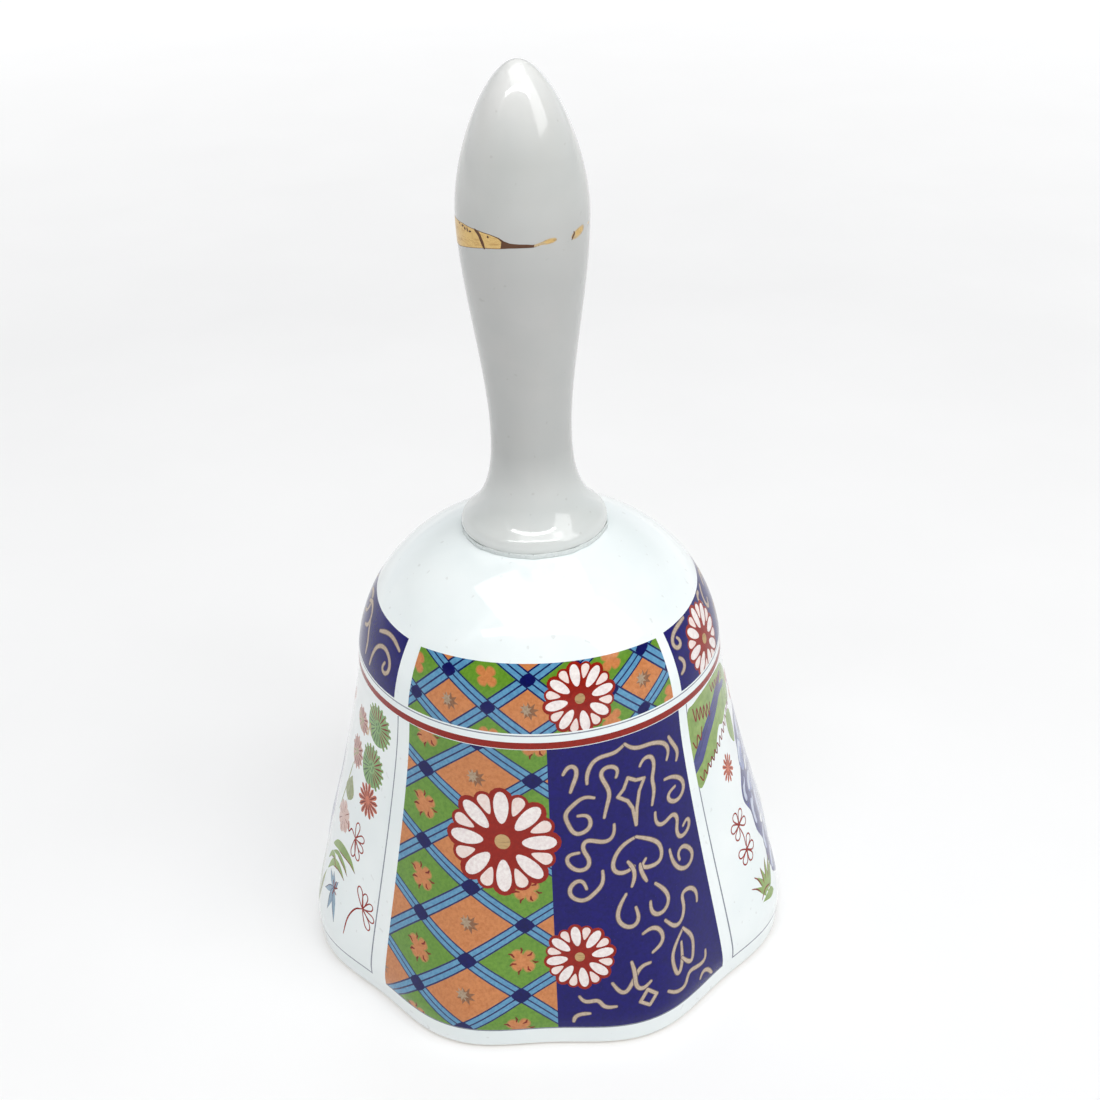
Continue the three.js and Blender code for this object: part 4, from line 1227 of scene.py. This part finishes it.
def cup_sections(painting):
    """The cup's closed outline, cut where the painted belt joins it."""
    inner = inner_profile()
    crown = points_between(CUP, painting.high, CUP.along[-1] - BORE_EDGE, 0.9)
    edge_z = crown[-1, 1]
    bore_top = corner(CROWN_BORE_RADIUS + BORE_EDGE, edge_z - BORE_EDGE, BORE_EDGE, 90, 180, 4)
    first_inner = inner.points[0]
    inner_foot = RIM_RADIUS - WALL_RIM + FOOT_EDGE
    inside = points_between(inner, inner.along[0], inner.along[-1], 1.7)
    foot = np.vstack([
        corner(inner_foot, FOOT_EDGE, FOOT_EDGE, 180, 270, 5),
        [(RIM_RADIUS - FOOT_EDGE, 0)],
        corner(RIM_RADIUS - FOOT_EDGE, FOOT_EDGE, FOOT_EDGE, -90, -30, 4),
    ])
    lip = np.vstack([corner(RIM_RADIUS - FOOT_EDGE, FOOT_EDGE, FOOT_EDGE, -30, 0, 3),
                     points_between(CUP, CUP.along[0], painting.low, 0.5)[1:]])
    bore = np.array([(CROWN_BORE_RADIUS, first_inner[1] + 0.4), (CROWN_BORE_RADIUS, first_inner[1])])
    return [("glaze", np.vstack([crown, bore_top])), ("biscuit", bore), ("glaze", inside[1:]),
            ("biscuit", foot), ("glaze", lip)]


CAVITY_DROP = 2.0  # the cavity is widest this far below the belly
CAVITY_TIP_PULL = 3.0
CAVITY_PULL_UP = 8.0
CAVITY_SIDE_Z = 110.0
CAVITY_NECK_Z = 98.0
MOUTH_TURN_Z = 81.0  # the cavity widens here to the mouth that takes the plug
MOUTH_Z = 77.0


def handle_sections(painting):
    """The handle's closed outline, cut where the painted belt of the belly joins it."""
    underside = FIT_GAP + BED_THICKNESS + FIT_GAP
    collar_in = COLLAR_RADIUS - COLLAR_EDGE
    collar_low = dome_z(collar_in) + underside
    cavity_radius = NECK_RADIUS - HANDLE_WALL
    top = (0, TOTAL_HEIGHT - HANDLE_TOP_WALL)
    wide = (BELLY_RADIUS - HANDLE_WALL, BELLY_Z - CAVITY_DROP)
    neck_top = (cavity_radius, NECK_Z + 2)
    neck_low = (cavity_radius, NECK_Z - 3)
    mouth = (HANDLE_BORE_RADIUS, MOUTH_Z)
    radii = np.linspace(HANDLE_BORE_RADIUS, collar_in, 12)
    under = np.stack([radii, dome_z(radii) + underside], 1)
    cavity = joined(
        cubic(top, (CAVITY_TIP_PULL, top[1]), (wide[0], wide[1] + CAVITY_PULL_UP), wide, 10),
        cubic(wide, (wide[0], CAVITY_SIDE_Z), (cavity_radius, CAVITY_NECK_Z), neck_top, 12),
        [neck_low],
        cubic(neck_low, (cavity_radius, MOUTH_TURN_Z), (HANDLE_BORE_RADIUS, MOUTH_TURN_Z), mouth, 8),
        under,
    )
    collar = np.vstack([corner(collar_in, collar_low + COLLAR_EDGE, COLLAR_EDGE, -90, 0, 6),
                        points_between(HANDLE, HANDLE.along[0], painting.low, 0.6)])
    tip = points_between(HANDLE, painting.high, HANDLE.along[-1], 0.5)
    return [("glaze", tip), ("biscuit", cavity), ("glaze", collar)]


cup_painting = paint_cup()
cup = painted_turning("porcelain_cup", cup_painting, cup_sections(cup_painting), True, PAINTS)
handle_painting = paint_handle()
handle = painted_turning("porcelain_handle", handle_painting, handle_sections(handle_painting), False,
                         HANDLE_PAINTS)


# ---------- cement and plaster ----------
def uneven(amount, waves, seed):
    """Moves points in and out by a sum of waves round the axis and up it."""
    shuffled = np.random.default_rng(seed)
    phases = shuffled.uniform(0, TAU, len(waves))
    leans = shuffled.uniform(-0.6, 0.6, len(waves))

    def shaped(points):
        azimuth = np.arctan2(points[:, 0], -points[:, 1])
        swell = sum(np.sin(n * azimuth + phase + lean * points[:, 2] * 2) for n, phase,
                    lean in zip(waves, phases, leans))
        scale = 1 + amount * swell / len(waves)
        return points * np.stack([scale, scale, np.ones_like(scale)], 1)

    return shaped


TOE_REACH = -0.04  # the cement's toe is this far outside the collar's radius, so it ends just inside it


def bed_sections():
    """The cement between dome and collar, closed round."""
    radii = np.linspace(BED_INNER_RADIUS, BED_OUTER_RADIUS, 16)
    low = np.stack([radii, dome_z(radii) + FIT_GAP], 1)
    collar_in = COLLAR_RADIUS - COLLAR_EDGE
    collar_z = dome_z(collar_in) + 2 * FIT_GAP + BED_THICKNESS + COLLAR_EDGE
    under_collar = corner(collar_in, collar_z, COLLAR_EDGE + FIT_GAP, -12, -90, 7)
    toe_r = COLLAR_RADIUS + TOE_REACH
    toe = (toe_r, dome_z(toe_r) + FIT_GAP)
    fillet = cubic(toe, (toe_r - 0.1, toe[1] + 0.08), (COLLAR_RADIUS - 0.02, toe[1] + 0.3), under_collar[0],
                   5)
    radii = np.linspace(collar_in, BED_INNER_RADIUS, 16)
    high = np.stack([radii, dome_z(radii) + FIT_GAP + BED_THICKNESS], 1)
    return [("cement", joined(low, fillet, under_collar, high, low[:1]))]


def plug_sections():
    """The plaster plug, with a small hole for the eye's shank."""
    radius = CROWN_BORE_RADIUS - FIT_GAP
    hole = 0.85
    return [("plaster", joined(
        [(0, 74.55), (hole - 0.15, 74.55), (hole, 74.4), (hole, 68.9), (hole + 0.25, 68.45)],
        [(1.6, 68.4), (2.4, 68.55), (3.1, 68.5)],
        cubic((3.1, 68.5), (3.9, 68.5), (radius, 68.8), (radius, 69.4), 6),
        [(radius, 71), (radius, 72.6), (radius, 74.2)],
        cubic((radius, 75.3), (radius, 75.8), (radius - 0.4, 76), (radius - 1, 76), 5),
        [(2, 75.85), (1, 75.95), (0, 75.9)],
    ))]


bed = turned_piece("cement_bed", bed_sections(), 144, {"cement": CEMENT}, uneven(0.012, (5, 9, 14, 23), 3))
plug = turned_piece("plaster_plug", plug_sections(), 72, {"plaster": PLASTER},
                    uneven(0.008, (3, 7, 11, 19), 5))


# ---------- brass ----------
def tube(path, radii, sides):
    """Points and faces of a wire along a path, with rounded ends."""
    path = np.asarray(path, float)
    radii = np.broadcast_to(radii, len(path))
    ahead = np.gradient(path, axis=0)
    ahead /= np.linalg.norm(ahead, axis=1)[:, None]
    start_cap = [(0.0, -0.92), (0.42, -0.82), (0.8, -0.45)]
    side = np.cross(ahead[0], (0.31, 0.52, 0.8))
    frames = []
    for direction in ahead:
        side = side - direction * (side @ direction)
        side /= np.linalg.norm(side)
        frames.append((side, np.cross(direction, side)))
    rings = [(0, share, reach) for share, reach in start_cap[1:]]
    rings += [(i, 1.0, 0.0) for i in range(len(path))]
    rings += [(len(path) - 1, share, -reach) for share, reach in start_cap[:0:-1]]
    turns = TAU * np.arange(sides) / sides
    points = []
    for i, share, reach in rings:
        u, v = frames[i]
        centre = path[i] + ahead[i] * reach * radii[i]
        points.append(centre + share * radii[i] * (np.cos(turns)[:, None] * u + np.sin(turns)[:, None] * v))
    points = list(np.vstack(points))
    faces = []
    for k in range(len(rings) - 1):
        for m in range(sides):
            n = (m + 1) % sides
            faces.append([k * sides + m, k * sides + n, (k + 1) * sides + n, (k + 1) * sides + m])
    tips = ((path[0] - ahead[0] * radii[0] * 0.92, 0, True),
            (path[-1] + ahead[-1] * radii[-1] * 0.92, len(rings) - 1, False))
    for tip, ring, first in tips:
        points.append(tip)
        for m in range(sides):
            n = (m + 1) % sides
            a, b = ring * sides + m, ring * sides + n
            faces.append([len(points) - 1, b, a] if first else [len(points) - 1, a, b])
    return np.array(points), faces


RING_RADIUS = 2.45
RING_DROP = 2 * RING_RADIUS - 2 * RING_WIRE_RADIUS - 0.04
EYE_Z = 65.4
LOOP_Z = EYE_Z - 3 * RING_DROP
SHANK_TOP_Z = 74.45
STRAND_RADIUS = 0.36
BUTTON_TOP_Z = 8.85


def link(name, z, crosswise, gap_at):
    """A ring of wire bent round until its cut ends almost meet."""
    turns = np.radians(gap_at + np.linspace(4.5, 355.5, 84))
    spring = 0.05 * np.sin((turns - turns[0]) / 2)
    across = (RING_RADIUS - 0.01) * np.cos(turns)
    up = (RING_RADIUS - 0.01) * np.sin(turns)
    path = np.stack([across, spring - 0.025, up + z], 1)
    if crosswise:
        path = path[:, [1, 0, 2]] * (-1, 1, 1)
    wobble = RING_WIRE_RADIUS * (0.985 + 0.015 * np.sin(9 * turns + z))
    points, faces = tube(path, wobble, 16)
    return build_mesh(name, points, faces, [0] * len(faces), [BRASS])


def twisted_eye(z, crosswise, end_z, pitch):
    """One wire bent to an eye, with both tails twisted together up or down to end_z."""
    sign = 1 if end_z > z else -1
    start_z = z + sign * (RING_RADIUS + 0.45)
    count = int(abs(end_z - start_z) / pitch * 12)
    t = np.linspace(0, 1, count)
    angle = TAU * (end_z - start_z) / pitch * t
    offset = 0.4 - 0.06 * (1 if sign < 0 else 0)
    tail = np.stack([offset * np.cos(angle), offset * np.sin(angle), start_z + (end_z - start_z) * t], 1)
    reach = np.radians(np.linspace(13, 347, 60))
    eye = np.stack([RING_RADIUS * np.sin(reach), 0 * reach, z + sign * RING_RADIUS * np.cos(reach)], 1)
    path = np.vstack([tail[::-1], eye, tail * (-1, -1, 1)])
    if crosswise:
        path = path[:, [1, 0, 2]] * (-1, 1, 1)
    heights = sign * (path[:, 2] - z)
    tail_radius = STRAND_RADIUS if sign > 0 else 0.3
    radii = np.interp(heights, [RING_RADIUS - 0.6, RING_RADIUS + 0.6], [RING_WIRE_RADIUS, tail_radius])
    return tube(path, radii, 12)


def button():
    """The wire's hammered end under the lower washer."""
    outline = joined(
        [(0, BUTTON_TOP_Z - 1.0)],
        cubic((0.3, BUTTON_TOP_Z - 1.0), (0.9, BUTTON_TOP_Z - 0.95), (1.35, BUTTON_TOP_Z - 0.75),
              (1.38, BUTTON_TOP_Z - 0.4), 7),
        cubic((1.38, BUTTON_TOP_Z - 0.4), (1.38, BUTTON_TOP_Z - 0.15), (1.3, BUTTON_TOP_Z - 0.02),
              (1.15, BUTTON_TOP_Z), 4),
        [(0.6, BUTTON_TOP_Z), (0, BUTTON_TOP_Z)],
    )
    points, quads = turned_grid(outline, 40, False, 0.0)
    points = uneven(0.05, (3, 5, 7), 8)(points)
    return points, [list(f) for f in quads]


def merged(name, parts, material):
    points = np.vstack([p for p, _ in parts])
    faces = []
    shift = 0
    for own, own_faces in parts:
        faces += [[i + shift for i in face] for face in own_faces]
        shift += len(own)
    return build_mesh(name, points, faces, [0] * len(faces), [material])


eye = merged("brass_eye", [twisted_eye(EYE_Z, False, SHANK_TOP_Z, 3.4)], BRASS)
upper_link = link("brass_link_upper", EYE_Z - RING_DROP, True, 188)
lower_link = link("brass_link_lower", EYE_Z - 2 * RING_DROP, False, 8)
wire = merged("brass_clapper_wire", [twisted_eye(LOOP_Z, True, BUTTON_TOP_Z - 0.3, 3.0), button()], BRASS)


# ---------- the clapper's bead ----------
BEAD_Z = 17.0
BEAD_RADIUS = 8.0
BEAD_FLAT = 2.6
BEAD_BORE = 0.85
BEAD_HALF = math.sqrt(BEAD_RADIUS**2 - BEAD_FLAT**2)


def bead_sections():
    """A thrown bead: bare biscuit in the bore and on the flats, and a rounded glaze edge."""
    start = math.degrees(math.asin(BEAD_HALF / BEAD_RADIUS))
    ball = corner(0, BEAD_Z, BEAD_RADIUS, -start + 4, start - 4, 46)
    low, high = BEAD_Z - BEAD_HALF, BEAD_Z + BEAD_HALF
    flat_low = [(BEAD_BORE + 0.2, low), (1.6, low + 0.02), (BEAD_FLAT - 0.15, low), tuple(ball[0])]
    flat_high = [(BEAD_FLAT - 0.15, high), (1.6, high - 0.02), (BEAD_BORE + 0.2, high),
                 (BEAD_BORE, high - 0.2)]
    bore = [(BEAD_BORE, low + 0.2), (BEAD_BORE + 0.2, low)]
    return [("biscuit", np.array(flat_low)), ("glaze", ball), ("biscuit", np.array(flat_high + bore))]


bead = turned_piece("porcelain_bead", bead_sections(), 96, {"biscuit": BISCUIT, "glaze": BEAD_GLAZE},
                    uneven(0.012, (2, 3, 5), 12))


def washer(name, low_z, seed):
    """A stamped brass washer, rounded on one edge and burred on the other."""
    high_z = low_z + 0.5
    outline = joined(
        [(BEAD_BORE, low_z + 0.06), (BEAD_BORE + 0.06, low_z), (1.5, low_z)],
        corner(2.0, low_z + 0.18, 0.18, -90, 0, 4),
        corner(2.08, high_z - 0.1, 0.1, 0, 90, 3),
        [(1.5, high_z), (BEAD_BORE + 0.12, high_z), (BEAD_BORE, high_z - 0.12), (BEAD_BORE, low_z + 0.06)],
    )
    return turned_piece(name, [("brass", outline)], 56, {"brass": BRASS}, uneven(0.008, (2, 5, 9), seed))


washer_high = washer("brass_washer_upper", BEAD_Z + BEAD_HALF + FIT_GAP, 21)
washer_low = washer("brass_washer_lower", BEAD_Z - BEAD_HALF - FIT_GAP - 0.5, 22)

# ---------- what each piece rides on and stands for ----------
for piece, body, node, slot in (
    (cup, "bell", "bell_cup", "cup_porcelain"),
    (handle, "bell", "handle", "handle_porcelain"),
    (bed, "bell", "collar_bed", "luting_cement"),
    (plug, "bell", "crown_plug", "plug_plaster"),
    (eye, "bell", "hanger_eye", "brass"),
    (upper_link, "upper_link", "chain_link_upper", "brass"),
    (lower_link, "lower_link", "chain_link_lower", "brass"),
    (wire, "clapper", "clapper_wire", "brass"),
    (bead, "clapper", "clapper_bead", "bead_porcelain"),
    (washer_high, "clapper", "bead_washer_upper", "brass"),
    (washer_low, "clapper", "bead_washer_lower", "brass"),
):
    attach(piece, body)
    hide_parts(node)


# ---------- floor, light and camera ----------
FLOOR_GLOW_NEAR, FLOOR_GLOW_FAR = 0.30, 0.87


def floor_material():
    """A pale sweep that glows more where the lamps reach it less, so that it stays even."""
    recipe = Recipe("pale_floor", {"Specular IOR Level": 0.1, "Emission Color": (1, 1, 1, 1)})
    distance = recipe.tree.nodes.new("ShaderNodeVectorMath")
    distance.operation = "LENGTH"
    recipe.tree.links.new(recipe.place, distance.inputs[0])
    glow = recipe.spread(distance.outputs["Value"], 0.3, 1.4, FLOOR_GLOW_NEAR, FLOOR_GLOW_FAR)
    recipe.tree.links.new(glow, recipe.shader.inputs["Emission Strength"])
    tone = recipe.ramp(recipe.noise(60, 4, 0.5), (0.3, (204, 204, 204)), (0.7, (207, 207, 207)))
    return recipe.done(tone, recipe.spread(recipe.noise(20, 3, 0.5), 0.3, 0.7, 0.75, 0.9))


floor_mesh = bpy.data.meshes.new("floor")
floor_mesh.from_pydata([(-6, -6, -0.0002), (6, -6, -0.0002), (6, 6, -0.0002), (-6, 6, -0.0002)], [],
                       [(0, 1, 2, 3)])
floor_mesh.materials.append(floor_material())
floor = bpy.data.objects.new("floor", floor_mesh)
bpy.context.collection.objects.link(floor)


def softbox(name, azimuth, elevation, distance, width, height, power):
    """An area light aimed at the middle of the bell."""
    data = bpy.data.lights.new(name, "AREA")
    data.shape = "RECTANGLE"
    data.size = width
    data.size_y = height
    data.energy = power
    lamp = bpy.data.objects.new(name, data)
    a, e = math.radians(azimuth), math.radians(elevation)
    away = Vector((math.sin(a) * math.cos(e), -math.cos(a) * math.cos(e), math.sin(e)))
    lamp.location = Vector((0, 0, 0.07)) + away * distance
    lamp.rotation_euler = away.to_track_quat("Z", "Y").to_euler()
    bpy.context.collection.objects.link(lamp)


softbox("top_front", -2, 61, 1.3, 1.5, 0.11, 6.0)
softbox("overhead", 20, 86, 1.5, 1.4, 1.4, 14.0)
softbox("left", -58, 52, 1.4, 0.12, 0.9, 0.3)
softbox("right", 62, 45, 1.4, 0.7, 0.9, 5.5)
softbox("back", 180, 50, 1.5, 1.2, 0.8, 1.5)

# A pale wall glows all round up to a low height, and the room above it is dimmer.
WALL_GLOW, ROOM_GLOW = 0.84, 0.13
HORIZON_TOP = (0.12, 0.34)  # sines of the elevations between which the wall fades into the room

world = bpy.data.worlds.new("pale_room")
bpy.context.scene.world = world
world.use_nodes = True
sky = world.node_tree
background = sky.nodes["Background"]
background.inputs["Color"].default_value = (0.93, 0.96, 1.0, 1)
upwards = sky.nodes.new("ShaderNodeSeparateXYZ")
sky.links.new(sky.nodes.new("ShaderNodeTexCoord").outputs["Generated"], upwards.inputs[0])
fade = sky.nodes.new("ShaderNodeMapRange")
for socket, value in (("From Min", HORIZON_TOP[0]), ("From Max", HORIZON_TOP[1]), ("To Min", WALL_GLOW),
                      ("To Max", ROOM_GLOW)):
    fade.inputs[socket].default_value = value
sky.links.new(upwards.outputs["Z"], fade.inputs["Value"])
sky.links.new(fade.outputs["Result"], background.inputs["Strength"])
bpy.context.scene.view_settings.view_transform = "Standard"

CAMERA_PLACE = Vector((2.2, -196.9, 180.5)) * MM
CAMERA_PITCH = math.radians(30.17)
CAMERA_ROLL = math.radians(-1.92)
camera = bpy.data.objects.new("camera", bpy.data.cameras.new("camera"))
camera.data.sensor_width = 36
camera.data.lens = 48.05
camera.data.clip_start = 0.005
camera.data.clip_end = 50
ahead = Vector((0, math.cos(CAMERA_PITCH), -math.sin(CAMERA_PITCH)))
up = Vector((0, math.sin(CAMERA_PITCH), math.cos(CAMERA_PITCH)))
right = Vector((1, 0, 0))
axis_x = math.cos(CAMERA_ROLL) * right + math.sin(CAMERA_ROLL) * up
axis_y = -math.sin(CAMERA_ROLL) * right + math.cos(CAMERA_ROLL) * up
camera.matrix_world = Matrix.Translation(CAMERA_PLACE) @ Matrix((axis_x, axis_y,
                                                                 -ahead)).transposed().to_4x4()
bpy.context.collection.objects.link(camera)
bpy.context.scene.camera = camera

bpy.context.view_layer.update()
